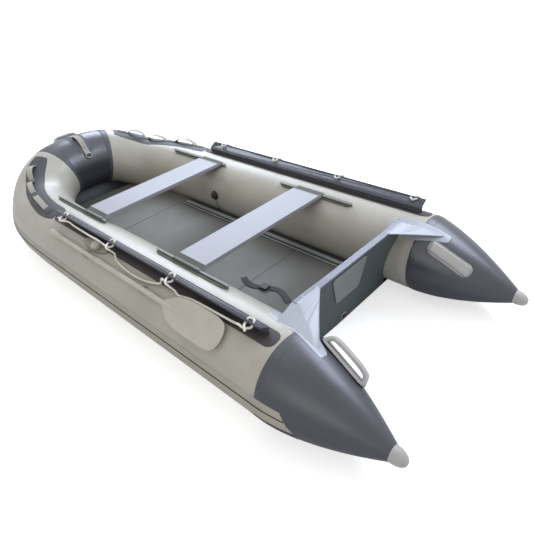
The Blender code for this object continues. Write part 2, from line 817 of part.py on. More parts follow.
def transom_frame():
    """An empty at the top of the board's aft face: x points forward through the board and z up along it."""
    empty = bpy.data.objects.new("transom_frame", None)
    PARTS.objects.link(empty)
    empty.location = (aft(TRANSOM_AFT), 0, TRANSOM_TOP)
    empty.rotation_euler = (0, -TRANSOM_RAKE, 0)
    bpy.context.view_layer.update()
    return empty


def on_transom(obj, matrix):
    """Places an object by a matrix in the transom's own frame."""
    obj.parent = TRANSOM
    obj.matrix_local = matrix
    return obj


def across_board(forward, offset, drop):
    """A frame on the transom for outlines drawn in (y, z), with its normal through the board."""
    matrix = Matrix(((0, 0, 1), (1, 0, 0), (0, 1, 0))).to_4x4()
    matrix.translation = Vector((forward, offset, -drop))
    return matrix


def drain_drop():
    return (TRANSOM_TOP - DRAIN_HEIGHT) / math.cos(TRANSOM_RAKE)


def transom_board(material):
    half = TRANSOM_HALF_WIDTH
    middle = bottom_middle(0)
    edge = bottom_edge(0)[0]
    corner = middle + (edge.z - middle) * half / edge.y
    lean = math.cos(TRANSOM_RAKE)
    low_middle = (middle + SEAT_GAP - TRANSOM_TOP) / lean
    low_corner = (corner + SEAT_GAP - TRANSOM_TOP) / lean
    outline = [(-half, 0), (-half, low_corner), (0, low_middle), (half, low_corner), (half, 0)]
    board = plate("transom_board", [outline], TRANSOM_THICKNESS, material, Matrix())
    on_transom(board, across_board(TRANSOM_THICKNESS / 2, 0, 0))
    for name, side in SIDES:
        ends = [ring(-STRAIGHT_LENGTH, SEAT_GAP, side), ring(0, SEAT_GAP, side)]
        boolean(board, loft(name + "_tube_cutter", ends, None), "DIFFERENCE")
    hole = turned(
        "drain_cutter",
        [
            (0, TRANSOM_THICKNESS / 2 + CUT_OVERRUN),
            (DRAIN_SLEEVE_RADIUS + SEAT_GAP, TRANSOM_THICKNESS / 2 + CUT_OVERRUN),
            (DRAIN_SLEEVE_RADIUS + SEAT_GAP, -TRANSOM_THICKNESS / 2 - CUT_OVERRUN),
            (0, -TRANSOM_THICKNESS / 2 - CUT_OVERRUN),
        ],
        None,
        Matrix(),
    )
    on_transom(hole, across_board(TRANSOM_THICKNESS / 2, DRAIN_OFFSET, drain_drop()))
    boolean(board, hole, "DIFFERENCE")
    return board


def transom_cap(material):
    """A channel over the board's top edge."""
    wall = TRANSOM_CAP_WALL
    low = -TRANSOM_CAP_SKIRT
    aft_in = -SEAT_GAP
    front_in = TRANSOM_THICKNESS + SEAT_GAP
    outline = [
        (aft_in - wall, low),
        (aft_in, low),
        (aft_in, SEAT_GAP),
        (front_in, SEAT_GAP),
        (front_in, low),
        (front_in + wall, low),
        (front_in + wall, SEAT_GAP + wall),
        (aft_in - wall, SEAT_GAP + wall),
    ]
    cap = plate("transom_cap", [outline], 2 * TRANSOM_HALF_WIDTH, material, Matrix())
    matrix = Matrix(((1, 0, 0), (0, 0, -1), (0, 1, 0))).to_4x4()
    return on_transom(cap, matrix)


def motor_plate(material):
    """A pad that narrows to its foot, which stands off centre on the board's aft face."""
    low = -MOTOR_PLATE_HEIGHT
    left, right = MOTOR_PLATE_TOP_ENDS
    foot_left, foot_right = MOTOR_PLATE_FOOT_ENDS
    corners = [Vector(place) for place in ((left, 0), (right, 0), (foot_right, low), (foot_left, low))]
    outline = rounded_corners(corners, MOTOR_PLATE_CORNER)
    pad = plate("motor_plate", [outline], MOTOR_PLATE_THICKNESS, material, Matrix())
    forward = -SEAT_GAP - MOTOR_PLATE_THICKNESS / 2
    return on_transom(pad, across_board(forward, 0, MOTOR_PLATE_DROP))


def drain_frame():
    """A frame on the transom at the drain's aft mouth, whose z points aft."""
    matrix = Matrix(((0, 0, -1), (0, 1, 0), (1, 0, 0))).to_4x4()
    matrix.translation = Vector((0, DRAIN_OFFSET, -drain_drop()))
    return matrix


def drain_body(material):
    flange_top = SEAT_GAP + DRAIN_FLANGE_THICKNESS
    profile = [
        (DRAIN_BORE_RADIUS, flange_top),
        (DRAIN_FLANGE_RADIUS, flange_top),
        (DRAIN_FLANGE_RADIUS, SEAT_GAP),
        (DRAIN_SLEEVE_RADIUS, SEAT_GAP),
        (DRAIN_SLEEVE_RADIUS, -TRANSOM_THICKNESS),
        (DRAIN_BORE_RADIUS, -TRANSOM_THICKNESS),
    ]
    return on_transom(turned("drain_body", profile, material, Matrix(), closed=True), drain_frame())


def drain_plug(material):
    base = 2 * SEAT_GAP + DRAIN_FLANGE_THICKNESS
    head = base + DRAIN_PLUG_HEAD_THICKNESS
    stem = DRAIN_BORE_RADIUS - 2 * SEAT_GAP
    profile = [
        (0, head),
        (DRAIN_PLUG_HEAD_RADIUS, head),
        (DRAIN_PLUG_HEAD_RADIUS, base),
        (stem, base),
        (stem, -TRANSOM_THICKNESS),
        (0, -TRANSOM_THICKNESS),
    ]
    return on_transom(turned("drain_plug", profile, material, Matrix()), drain_frame())


def blend(first, last, share):
    return first + (last - first) * share


def skin_section(distance, angles, thickness, side, lift=SKIN_GAP, steps=5):
    """A section of a patch that lies on the tube between two angles."""
    marks = [blend(angles[0], angles[1], k / steps) for k in range(steps + 1)]
    inner = [tube_point(distance, angle, lift, side) for angle in marks]
    outer = [tube_point(distance, angle, lift + thickness, side) for angle in marks]
    return inner + outer[::-1]


def gusset(name, side, material):
    """Fabric glued to the tube and cone, with a web up to the transom's cap."""
    plane = -TRANSOM_AFT
    tail = plane - GUSSET_TAIL
    rows = (
        (plane + GUSSET_FRONT, GUSSET_FRONT_ANGLES),
        (plane, GUSSET_SIDE_ANGLES),
        (-STRAIGHT_LENGTH, GUSSET_SIDE_ANGLES),
        (tail, GUSSET_TAIL_ANGLES),
    )
    sections = []
    for (start, first), (end, last) in zip(rows, rows[1:]):
        for k in range(GUSSET_ROW_STEPS):
            share = k / GUSSET_ROW_STEPS
            angles = (blend(first[0], last[0], share), blend(first[1], last[1], share))
            sections.append(skin_section(blend(start, end, share), angles, GUSSET_THICKNESS, side))
    sections.append(skin_section(tail, GUSSET_TAIL_ANGLES, GUSSET_THICKNESS, side))
    flap = loft(name, sections, material)
    web = gusset_web(name + "_web", side)
    boolean(flap, web, "UNION")
    return flap


def gusset_web(name, side):
    """A sheet between the transom's aft face and the flap, whose inner edge hangs free."""
    behind = TRANSOM_CAP_WALL + 2 * SEAT_GAP
    top = TRANSOM_TOP - GUSSET_DROP
    start = Vector((aft(TRANSOM_AFT) - behind, (TUBE_HALF_SPACING - GUSSET_CAP_INSET) * side, top))
    tail = -TRANSOM_AFT - GUSSET_TAIL + TRANSOM_THICKNESS
    end = tube_point(tail, GUSSET_WEB_ANGLES[1], SKIN_GAP + GUSSET_THICKNESS, side)
    down = Vector((0, 0, -GUSSET_THICKNESS))
    sections = []
    for share in GUSSET_WEB_SHARES:
        inner = start.lerp(end, share)
        distance = inner.x - SHOULDER_X
        angle = blend(*GUSSET_WEB_ANGLES, share)
        outer = tube_point(distance, angle, SKIN_GAP + GUSSET_THICKNESS, side)
        middle = inner.lerp(outer, GUSSET_CREST_SHARE)
        middle.z += GUSSET_DROP * (1 - share)
        sections.append([inner, middle, outer, outer + down / 2, middle + down, inner + down])
    return loft(name, sections, None)


# Benches and tracks


def track_place(across, height, side):
    """The (y, z) of a point over the track's line: across is positive outboard, height is from the skin."""
    reach = TUBE_RADIUS + height
    y = TUBE_HALF_SPACING + reach * math.sin(TRACK_ANGLE) + across * math.cos(TRACK_ANGLE)
    z = TUBE_RADIUS + reach * math.cos(TRACK_ANGLE) - across * math.sin(TRACK_ANGLE)
    return (y * side, z)


def track_levels():
    base = TRACK_BASE_HEIGHT
    neck = base + TRACK_NECK_HEIGHT
    return base, neck, neck + TRACK_HEAD_HEIGHT


def seat_track(name, ends_aft, side, material):
    """A glued strip with a T-shaped rail, whose foot takes up the tube's first bend."""
    base, neck, top = track_levels()
    sections = []
    for end in ends_aft:
        bent = TUBE_HALF_SPACING - centre_frame(-end)[0][1]
        foot = SEAT_GAP - bent * math.sin(TRACK_ANGLE)
        half_base = TRACK_BASE_WIDTH / 2
        half_neck = TRACK_NECK_WIDTH / 2
        half_head = TRACK_HEAD_WIDTH / 2
        right = [(half_base, foot), (half_base, base), (half_neck, base)]
        right += [(half_neck, neck), (half_head, neck), (half_head, top)]
        outline = right + [(-across, height) for across, height in right[::-1]]
        sections.append([Vector((aft(end), *track_place(u, h, side))) for u, h in outline])
    return loft(name, sections, material)


def seat_outline_half(side):
    """Half of a bench's section: the slab, then the shoe that grips the track's head."""
    base, neck, top = track_levels()
    inside = TRACK_HEAD_WIDTH / 2 + SEAT_GAP
    outside = inside + SHOE_WALL
    mouth = outside - SHOE_WALL - SHOE_HOOK
    roof = top + SEAT_GAP + SHOE_WALL
    foot = base + SHOE_PLAY
    under = neck - SEAT_GAP
    shoe = [
        (-outside, roof),
        (outside, roof),
        (outside, foot),
        (mouth, foot),
        (mouth, under),
        (inside, under),
        (inside, top + SEAT_GAP),
        (-inside, top + SEAT_GAP),
        (-inside, under),
        (-mouth, under),
        (-mouth, foot),
        (-outside, foot),
    ]
    half = [(SEAT_HALF_LENGTH * side, SEAT_TOP)]
    half += [track_place(across, height, side) for across, height in shoe]
    half.append((SEAT_HALF_LENGTH * side, SEAT_TOP - SEAT_THICKNESS))
    return half


def bench(name, centre_aft, material):
    outline = seat_outline_half(PORT) + seat_outline_half(STARBOARD)[::-1]
    front = aft(centre_aft) + SEAT_WIDTH / 2
    seat = bar(name, outline, front, front - SEAT_WIDTH, material)
    place = Matrix.Translation((aft(centre_aft), 0, SEAT_TOP))
    seat.data.transform(place.inverted() @ seat.matrix_world)
    seat.matrix_world = place
    return seat


# Lifeline rails and ropes


def rail_axes():
    """Unit vectors in (y, z): along the flange toward its outer edge, and up from its top face."""
    return (math.cos(RAIL_TILT), math.sin(RAIL_TILT)), (-math.sin(RAIL_TILT), math.cos(RAIL_TILT))


def rail_point(across, rise, side=PORT):
    """The (y, z) of a point on the rail: across from the flange's middle, rise from its top face."""
    along, up = rail_axes()
    reach = TUBE_RADIUS + RAIL_HEIGHT
    y = TUBE_HALF_SPACING + reach * math.sin(RAIL_ANGLE) + across * along[0] + rise * up[0]
    z = TUBE_RADIUS + reach * math.cos(RAIL_ANGLE) + across * along[1] + rise * up[1]
    return (y * side, z)


def lifeline_rail(name, side, material):
    """A base patch on the tube with a T-shaped rail on it, pierced for the rope."""
    front = -RAIL_PATCH_FRONT_AFT
    rear = RAIL_PATCH_REAR_AHEAD - STRAIGHT_LENGTH
    low, high = RAIL_PATCH_ANGLES
    middle = (low + high) / 2
    corner = RAIL_PATCH_CORNER
    rows = [(rear + corner * reach, share) for reach, share in RAIL_PATCH_REAR_SHARES]
    rows.append((0, 1))
    rows += [(front - corner * reach, share) for reach, share in RAIL_PATCH_FRONT_SHARES]
    sections = []
    for distance, share in rows:
        angles = (middle + (low - middle) * share, middle + (high - middle) * share)
        sections.append(skin_section(distance, angles, PATCH_THICKNESS, side))
    patch = loft(name, sections, material)
    half = RAIL_WIDTH / 2
    web = RAIL_WEB / 2
    flange = [(-half, 0), (half, 0), (half, -RAIL_THICKNESS), (web - RAIL_WEB_INSET, -RAIL_THICKNESS)]
    places = [rail_point(across, rise, side) for across, rise in flange]
    top_y, top_z = rail_point(-RAIL_WEB_INSET, -RAIL_THICKNESS)
    lean = math.atan2(top_y - TUBE_HALF_SPACING, top_z - TUBE_RADIUS)
    foot = tube_point(0, math.degrees(lean), SKIN_GAP + PATCH_THICKNESS / 2, side)
    slope = math.cos(lean) * web * side
    places += [(foot.y + slope, foot.z), (foot.y - slope, foot.z)]
    places += [rail_point(across, -RAIL_THICKNESS, side) for across in (-RAIL_WEB_INSET - web, -half)]
    rail = bar(name + "_rail", places, aft(RAIL_FRONT_AFT), aft(RAIL_REAR_AFT), None)
    boolean(patch, rail, "UNION")
    for k in range(ROPE_STATIONS):
        for end, reach in (("front", ROPE_HOLE_REACH), ("rear", -ROPE_HOLE_REACH)):
            boolean(patch, rail_hole(f"{name}_{end}_hole_{k + 1}", k, reach, side), "DIFFERENCE")
    return patch


def rope_station(index):
    return aft(ROPE_FIRST_AFT + ROPE_PITCH * index)


def rail_hole(name, index, ahead, side):
    half = RAIL_THICKNESS / 2
    reach = half + RAIL_HOLE_RADIUS
    profile = [(0, reach), (RAIL_HOLE_RADIUS, reach), (RAIL_HOLE_RADIUS, -reach), (0, -reach)]
    y, z = rail_point(RAIL_WIDTH / 2 - RAIL_HOLE_INSET, -half, side)
    _, up = rail_axes()
    x = rope_station(index) + ahead
    matrix = frame_matrix((x, y, z), (1, 0, 0), (0, up[0] * side, up[1]))
    return turned(name, profile, None, matrix)


# The rope's turn through the rail's two holes at each station, from the flange's outer top edge: forward,
# across the flange toward its outer side, up from its face
ROPE_TURN = (
    (0.036, 0.008, -0.030),
    (0.008, 0.004, -0.033),
    (-0.012, -0.010, -0.024),
    (-0.0165, -0.0125, -0.010),
    (-0.0165, -0.0130, 0.001),
    (-0.0140, -0.0180, 0.0068),
    (0, -0.0270, 0.0062),
    (0.0140, -0.0180, 0.0068),
    (0.0165, -0.0130, 0.001),
    (0.0165, -0.0115, -0.010),
    (0.0120, 0.002, -0.0185),
    (-0.002, 0.0165, -0.026),
    (-0.014, 0.020, -0.036),
)

# The rope's free runs between stations, chosen by hand: share of the pitch, angle from the tube's top, lift
ROPE_RUNS = (
    (
        (0.127, 17.8, 0.0525), (0.257, 18.5, 0.0521), (0.391, 18.9, 0.0527), (0.508, 19.2, 0.0552),
        (0.606, 19.5, 0.0578), (0.706, 19.6, 0.0595), (0.796, 19.3, 0.0597), (0.876, 19.3, 0.0507),
    ),
    (
        (0.076, 20.7, 0.0252), (0.136, 25.4, 0.0146), (0.245, 28.7, 0.0134), (0.385, 30.6, 0.0131),
        (0.525, 31.1, 0.0131), (0.665, 29.6, 0.0131), (0.785, 26.3, 0.0137), (0.874, 22.5, 0.0205),
    ),
    (
        (0.084, 21.6, 0.0244), (0.148, 23.7, 0.0193), (0.224, 22.0, 0.0198), (0.324, 20.3, 0.0245),
        (0.464, 19.7, 0.0279), (0.603, 19.5, 0.0308), (0.743, 19.2, 0.0336), (0.853, 19.0, 0.0364),
    ),
    (),
)


def rope_route(side):
    """The lifeline's own points, from its front end to its rear end."""
    route = []
    for k in range(ROPE_STATIONS):
        x = rope_station(k)
        for ahead, across, rise in ROPE_TURN:
            y, z = rail_point(RAIL_WIDTH / 2 + across, rise)
            route.append(Vector((x + ahead, y * side, z)))
        for share, angle, lift in ROPE_RUNS[k]:
            route.append(tube_point(x - SHOULDER_X - ROPE_PITCH * share, angle, lift, side))
    return route


def smooth_route(points, step):
    """Points on a smooth curve through the route, no further apart than about one step."""
    ends = [points[0] * 2 - points[1]] + points + [points[-1] * 2 - points[-2]]
    found = []
    for k in range(1, len(ends) - 2):
        before, start, end, after = ends[k - 1 : k + 3]
        pieces = max(1, round((end - start).length / step))
        for j in range(pieces):
            t = j / pieces
            found.append(
                0.5
                * (
                    2 * start
                    + (end - before) * t
                    + (2 * before - 5 * start + 4 * end - after) * t**2
                    + (3 * start - before - 3 * end + after) * t**3
                )
            )
    return found + [points[-1]]


def lifeline(name, side, material):
    return wire(name, smooth_route(rope_route(side), ROPE_STEP), ROPE_RADIUS, material)


# Shoulder patches with hand loops

# Places along the patch as shares of its length, with the angles of its inboard and outboard edges
GRAB_PATCH_EDGE_SHARES = (
    (0.00, -4, 22),
    (0.05, -7, 27),
    (0.15, -7, 29),
    (0.32, -10, 25),
    (0.50, -14, 20),
    (0.74, -20, 15),
    (0.90, -24, 15),
    (0.97, -23, 13),
    (1.00, -18, 8),
)


def grab_patch(name, side, material):
    """A shaped patch on the shoulder with one webbing over it that stands up in three loops."""
    first, last = GRAB_PATCH_STATIONS
    shares = [row[0] for row in GRAB_PATCH_EDGE_SHARES]
    sections = []
    for station in range(first, last + 1):
        share = (station - first) / (last - first)
        low = float(np.interp(share, shares, [row[1] for row in GRAB_PATCH_EDGE_SHARES]))
        high = float(np.interp(share, shares, [row[2] for row in GRAB_PATCH_EDGE_SHARES]))
        sections.append(skin_section(STATION_STEP * station, (low, high), PATCH_THICKNESS, side))
    patch = loft(name, sections, material)
    boolean(patch, grab_webbing(name + "_webbing", side), "UNION")
    return patch


def webbing_stops():
    """(station, rise share) pairs along the webbing: flat on the patch, or up in a loop."""
    first, last = GRAB_WEBBING_STATIONS
    stops = {float(station): 0.0 for station in range(first, last + 1)}
    for start, end in GRAB_LOOP_STATIONS:
        count = (end - start) * GRAB_LOOP_STEPS
        for k in range(1, count):
            stops[start + (end - start) * k / count] = math.sin(math.pi * k / count) ** GRAB_LOOP_FULLNESS
    return sorted(stops.items())


def grab_webbing(name, side):
    first, last = GRAB_WEBBING_STATIONS
    sections = []
    for station, rise in webbing_stops():
        centre = blend(*GRAB_WEBBING_ANGLES, (station - first) / (last - first))
        distance = STATION_STEP * station
        lift = SKIN_GAP + PATCH_THICKNESS * GRAB_WEBBING_BED_SHARE + GRAB_LOOP_HEIGHT * rise
        half = math.degrees(GRAB_WEBBING_WIDTH / 2 / (TUBE_RADIUS + lift))
        angles = (centre - half, centre + half)
        sections.append(skin_section(distance, angles, GRAB_WEBBING_THICKNESS, side, lift, steps=1))
    return loft(name, sections, None)


# Bow fittings


def bow_place(degrees, lift):
    """The (x, z) of a point over the bow tube in the centre plane."""
    point = tube_point(BOW_DISTANCE, degrees, lift)
    return (point.x, point.z)


def across_y():
    """A frame for outlines drawn in (x, z) that are extruded along Y."""
    return Matrix(((1, 0, 0), (0, 0, -1), (0, 1, 0))).to_4x4()


def bow_eye():
    """The hinge line of the D-ring, as an angle and a lift over the bow tube."""
    return BOW_STRAP_ANGLES[1] - BOW_EYE_AHEAD_ANGLE, BOW_EYE_RADIUS + SKIN_GAP


def bow_carry_strap(material):
    """Webbing over the bow that stands off in an arch, with a sewn eye for the D-ring at its lower end."""
    start, end = BOW_STRAP_ANGLES
    rise_start, rise_end = BOW_STRAP_ARCH_ANGLES
    steps = 20
    low = []
    top = []
    for k in range(steps + 1):
        angle = blend(start, end, k / steps)
        share = min(max((angle - rise_start) / (rise_end - rise_start), 0), 1)
        lift = SKIN_GAP + BOW_STRAP_ARCH * math.sin(math.pi * share) ** BOW_STRAP_FULLNESS
        low.append(bow_place(angle, lift))
        top.append(bow_place(angle, lift + BOW_STRAP_THICKNESS))
    strap = plate("bow_carry_strap", [low + top[::-1]], BOW_STRAP_WIDTH, material, across_y())
    x, z = bow_place(*bow_eye())
    matrix = frame_matrix((x, 0, z), (1, 0, 0), (0, 1, 0))
    boolean(strap, rod("bow_eye", BOW_EYE_RADIUS, BOW_STRAP_WIDTH / 2, matrix), "UNION")
    boolean(strap, rod("bow_eye_bore", BOW_EYE_BORE, BOW_STRAP_WIDTH, matrix), "DIFFERENCE")
    return strap


def rod(name, radius, reach, matrix):
    """A round cutter that reaches as far to both sides of its frame."""
    return turned(name, [(0, reach), (radius, reach), (radius, -reach), (0, -reach)], None, matrix)


def bow_d_ring(material):
    """A D-shaped wire ring whose straight bar runs through the strap's eye."""
    x, z = bow_place(*bow_eye())
    angle = math.radians(bow_eye()[0])
    down = Vector((-math.cos(angle), 0, math.sin(angle)))
    half = D_RING_HALF_WIDTH
    points = [Vector((0, -half, 0)), Vector((0, 0, 0)), Vector((0, half, 0))]
    steps = 10
    for k in range(steps + 1):
        turn = math.pi * k / steps
        drop = D_RING_LENGTH * blend(D_RING_SHOULDER_SHARE, 1, math.sin(turn))
        points.append(Vector((0, half * math.cos(turn), 0)) + down * drop)
    ring_wire = wire("bow_d_ring", points, D_RING_WIRE, material, closed=True)
    ring_wire.location = (x, 0, z)
    return ring_wire


def handle_pill(growth):
    width = HANDLE_WIDTH * growth
    return rounded_rectangle(HANDLE_LENGTH * growth, width, width / 2, 6)


def carry_handle(name, matrix, material, growth=1):
    """A moulded handle: a pill-shaped foot, two posts and a grip, with a slot for the hand."""
    half = HANDLE_LENGTH * growth / 2
    height = HANDLE_HEIGHT * growth
    body = [(-half, 0), (half, 0), (half, height), (-half, height)]
    half_slot = half - HANDLE_POST * growth
    low = HANDLE_BASE * growth
    high = height - HANDLE_GRIP * growth
    slot = [(-half_slot, low), (-half_slot, high), (half_slot, high), (half_slot, low)]
    handle = plate(name, [body, slot], HANDLE_WIDTH * growth, material, matrix @ across_y())
    round_ends = plate(name + "_plan", [handle_pill(growth)], 2 * height + CUT_OVERRUN, None, matrix)
    boolean(handle, round_ends, "INTERSECT")
    return handle


def foot_lift(matrix, side):
    """The lift along its normal that seats a handle's flat foot on the cone's flats."""
    pill = handle_pill(STERN_HANDLE_GROWTH)
    depths = []
    for share in np.linspace(0, 1, 9):
        for x, y in pill:
            place = matrix @ Vector((x * share, y * share, 0))
            centre, _, _, _, radius = centre_frame(place.x - SHOULDER_X)
            outward = (place.y * side - centre[1], place.z - centre[2])
            degrees = math.degrees(math.atan2(*outward))
            depths.append(radius - facet_drop(degrees, radius) - math.hypot(*outward))
    return max(depths) + SEAT_GAP


def stern_handle(name, side, material):
    ends = []
    normals = Vector((0, 0, 0))
    for reach, angle in zip(STERN_HANDLE_ENDS, STERN_HANDLE_ANGLES):
        distance = -STRAIGHT_LENGTH - reach
        ends.append(tube_point(distance, angle, 0, side))
        normals += ends[-1] - Vector((ends[-1].x, TUBE_HALF_SPACING * side, centre_frame(distance)[0][2]))
    matrix = frame_matrix((ends[0] + ends[1]) / 2, ends[0] - ends[1], normals)
    matrix = matrix @ Matrix.Translation((0, 0, foot_lift(matrix, side)))
    return carry_handle(name, matrix, material, STERN_HANDLE_GROWTH)


def bow_handle(material):
    matrix = tube_frame(BOW_DISTANCE, BOW_HANDLE_ANGLE, SEAT_GAP)
    return carry_handle("bow_handle", matrix, material)


# Valves


def valve_body(name, side, material):
    flange = VALVE_FLANGE_THICKNESS
    profile = [
        (0, VALVE_COLLAR_HEIGHT),
        (VALVE_COLLAR_RADIUS, VALVE_COLLAR_HEIGHT),
        (VALVE_COLLAR_RADIUS, flange),
        (VALVE_FLANGE_RADIUS, flange),
        (VALVE_FLANGE_RADIUS, 0),
        (0, 0),
    ]
    return turned(name, profile, material, tube_frame(-VALVE_AFT, VALVE_ANGLE, seat_lift(VALVE_ANGLE), side))


def valve_cap(name, side, material):
    lift = seat_lift(VALVE_ANGLE) + VALVE_COLLAR_HEIGHT + SEAT_GAP
    matrix = tube_frame(-VALVE_AFT, VALVE_ANGLE, lift, side)
    return knob(name, VALVE_CAP_RADIUS, VALVE_CAP_HEIGHT, 8, material, matrix)


# Rowlocks and oars


def rowlock_lift():
    return SKIN_GAP + PATCH_THICKNESS + SEAT_GAP


def rowlock_base(name, side, material):
    """A lens-shaped moulding glued over the edge of the base patch."""
    steps = 10
    half = ROWLOCK_LENGTH / 2
    upper = []
    for k in range(steps):
        share = -1 + 2 * k / steps
        upper.append((share * half, ROWLOCK_WIDTH / 2 * (1 - share**2) ** ROWLOCK_FULLNESS))
    outline = upper + [(-x, -y) for x, y in upper]
    matrix = tube_frame(-ROWLOCK_AFT, ROWLOCK_ANGLE, rowlock_lift() + ROWLOCK_THICKNESS / 2, side)
    return plate(name, [outline], ROWLOCK_THICKNESS, material, matrix)


def rowlock_knob(name, side, material):
    lift = rowlock_lift() + ROWLOCK_THICKNESS + SEAT_GAP
    matrix = tube_frame(-ROWLOCK_KNOB_AFT, ROWLOCK_ANGLE, lift, side)
    return knob(name, ROWLOCK_KNOB_RADIUS, ROWLOCK_KNOB_HEIGHT, 10, material, matrix)


def oar_frame(distance_aft, side):
    """A frame on the shaft's axis whose z points aft along it and whose y points away from the tube."""
    base = tube_frame(-distance_aft, OAR_ANGLE, OAR_STANDOFF, side)
    normal = Vector(base.col[2][:3])
    backward = Vector((-1, 0, 0))
    across = normal.cross(backward)
    matrix = Matrix((across, normal, backward)).transposed().to_4x4()
    matrix.translation = base.translation
    return matrix


def oar_shaft(name, side, material):
    length = OAR_JOINT_AFT - OAR_FRONT_AFT - SEAT_GAP
    profile = [
        (0, length),
        (OAR_SHAFT_RADIUS, length),
        (OAR_SHAFT_RADIUS, OAR_GRIP_LENGTH),
        (OAR_GRIP_RADIUS, OAR_GRIP_LENGTH),
        (OAR_GRIP_RADIUS, OAR_GRIP_RADIUS / 2),
        (OAR_SHAFT_RADIUS, 0),
        (0, 0),
    ]
    return turned(name, profile, material, oar_frame(OAR_FRONT_AFT, side))


# Places along the blade as shares of its length, with shares of its half width
BLADE_WIDTH_SHARES = (
    (0, 0.2),
    (0.06, 0.42),
    (0.16, 0.78),
    (0.3, 0.95),
    (0.5, 1),
    (0.82, 0.98),
    (0.93, 0.86),
    (0.98, 0.62),
    (1, 0.3),
)


def oar_blade(name, side, material):
    """A flat blade with a tapering rib, on a neck that meets the shaft."""
    frame = oar_frame(OAR_JOINT_AFT, side)
    neck = OAR_NECK_LENGTH
    edge = [(OAR_BLADE_HALF_WIDTH * w, neck + OAR_BLADE_LENGTH * s) for s, w in BLADE_WIDTH_SHARES]
    outline = edge + [(-x, z) for x, z in edge[::-1]]
    turn = Matrix(((1, 0, 0), (0, 0, -1), (0, 1, 0))).to_4x4()
    blade = plate(name, [outline], OAR_BLADE_THICKNESS, material, frame @ turn)
    rib_end = neck + OAR_BLADE_LENGTH * OAR_RIB_END_SHARE
    profile = [
        (0, rib_end),
        (OAR_BLADE_THICKNESS / 2, rib_end),
        (OAR_RIB_RADIUS, neck + OAR_BLADE_LENGTH * OAR_RIB_START_SHARE),
        (OAR_SHAFT_RADIUS, neck / 2),
        (OAR_SHAFT_RADIUS, 0),
        (0, 0),
    ]
    boolean(blade, turned(name + "_rib", profile, None, frame), "UNION")
    return blade


def oar_clip(name, distance_aft, side, material):
    """A pad on the tube with two arms that hold the shaft."""
    inside = OAR_SHAFT_RADIUS + SEAT_GAP
    outside = inside + CLIP_WALL
    bed = -OAR_SHAFT_RADIUS - SEAT_GAP
    low = seat_lift(OAR_ANGLE) - OAR_STANDOFF
    pad = low + CLIP_PAD_THICKNESS
    reach = OAR_SHAFT_RADIUS / 2
    right = [
        (CLIP_PAD_HALF_WIDTH, low),
        (CLIP_PAD_HALF_WIDTH, pad),
        (outside, pad),
        (outside, reach),
        (inside, reach),
        (inside, bed),
    ]
    outline = right + [(-x, y) for x, y in right[::-1]]
    return plate(name, [outline], CLIP_LENGTH, material, oar_frame(distance_aft, side))


# Strap on the floor


def floor_strap(material):
    """Webbing that lies on the panels in a slack curve."""
    steps = 12
    low = FLOOR_TOP + SEAT_GAP
    top = low + STRAP_THICKNESS
    half = STRAP_WIDTH / 2
    sections = []
    for k in range(steps + 1):
        share = k / steps
        x = aft(TRANSOM_AFT - blend(STRAP_FRONT_AHEAD, STRAP_REAR_AHEAD, share))
        y = strap_line(share)
        corners = ((y - half, low), (y + half, low), (y + half, top), (y - half, top))
        sections.append([Vector((x, across, height)) for across, height in corners])
    return loft("floor_strap", sections, material)


def strap_line(share):
    """The Y of the slack strap's middle at a share of its length."""
    return STRAP_OFFSET + STRAP_WANDER * math.sin(STRAP_TURN * share)


def strap_buckle(material):
    share = (STRAP_FRONT_AHEAD - BUCKLE_AHEAD) / (STRAP_FRONT_AHEAD - STRAP_REAR_AHEAD)
    outline = rounded_rectangle(BUCKLE_LENGTH, BUCKLE_WIDTH, BUCKLE_THICKNESS / 2, 2)
    x = aft(TRANSOM_AFT - BUCKLE_AHEAD)
    low = FLOOR_TOP + 2 * SEAT_GAP + STRAP_THICKNESS
    matrix = Matrix.Translation((x, strap_line(share), low + BUCKLE_THICKNESS / 2))
    return plate("strap_buckle", [outline], BUCKLE_THICKNESS, material, matrix)


clear_scene()
PARTS = make_collection("inflatable_dinghy")
CUTTERS = make_collection("cutters")
TRANSOM = transom_frame()

hull_grey = look("hull_grey", (0.42, 0.41, 0.38), 0.4)
slate = look("slate", (0.107, 0.125, 0.162), 0.45)
slate_rubber = look("slate_rubber", (0.098, 0.102, 0.120), 0.55)
track_rubber = look("track_rubber", (0.138, 0.147, 0.119), 0.6)
rail_plastic = look("rail_plastic", (0.107, 0.107, 0.136), 0.45)
light_trim = look("light_trim", (0.50, 0.48, 0.45), 0.5)
strake_rubber = look("strake_rubber", (0.40, 0.38, 0.33), 0.5)
gusset_fabric = look("gusset_fabric", (0.66, 0.68, 0.75), 0.45)
light_webbing = look("light_webbing", (0.44, 0.42, 0.38), 0.8)
dark_webbing = look("dark_webbing", (0.05, 0.055, 0.06), 0.8)
dark_plastic = look("dark_plastic", (0.03, 0.03, 0.03), 0.5)
grey_plastic = look("grey_plastic", (0.31, 0.29, 0.25), 0.5)
handle_plastic = look("handle_plastic", (0.37, 0.36, 0.33), 0.45)
oar_plastic = look("oar_plastic", (0.43, 0.40, 0.35), 0.4)
bench_metal = look("bench_metal", (0.63, 0.66, 0.76), 0.35, 1.0)
floor_metal = look("floor_metal", (0.30, 0.30, 0.30), 0.4, 1.0)
cap_metal = look("cap_metal", (0.55, 0.58, 0.68), 0.35, 1.0)
plate_plastic = look("plate_plastic", (0.25, 0.26, 0.28), 0.4)
board_teal = look("board_teal", (0.048, 0.072, 0.080), 0.5)
rope_white = look("rope_white", (0.76, 0.74, 0.70), 0.8)
steel = look("steel", (0.51, 0.51, 0.53), 0.3, 1.0)

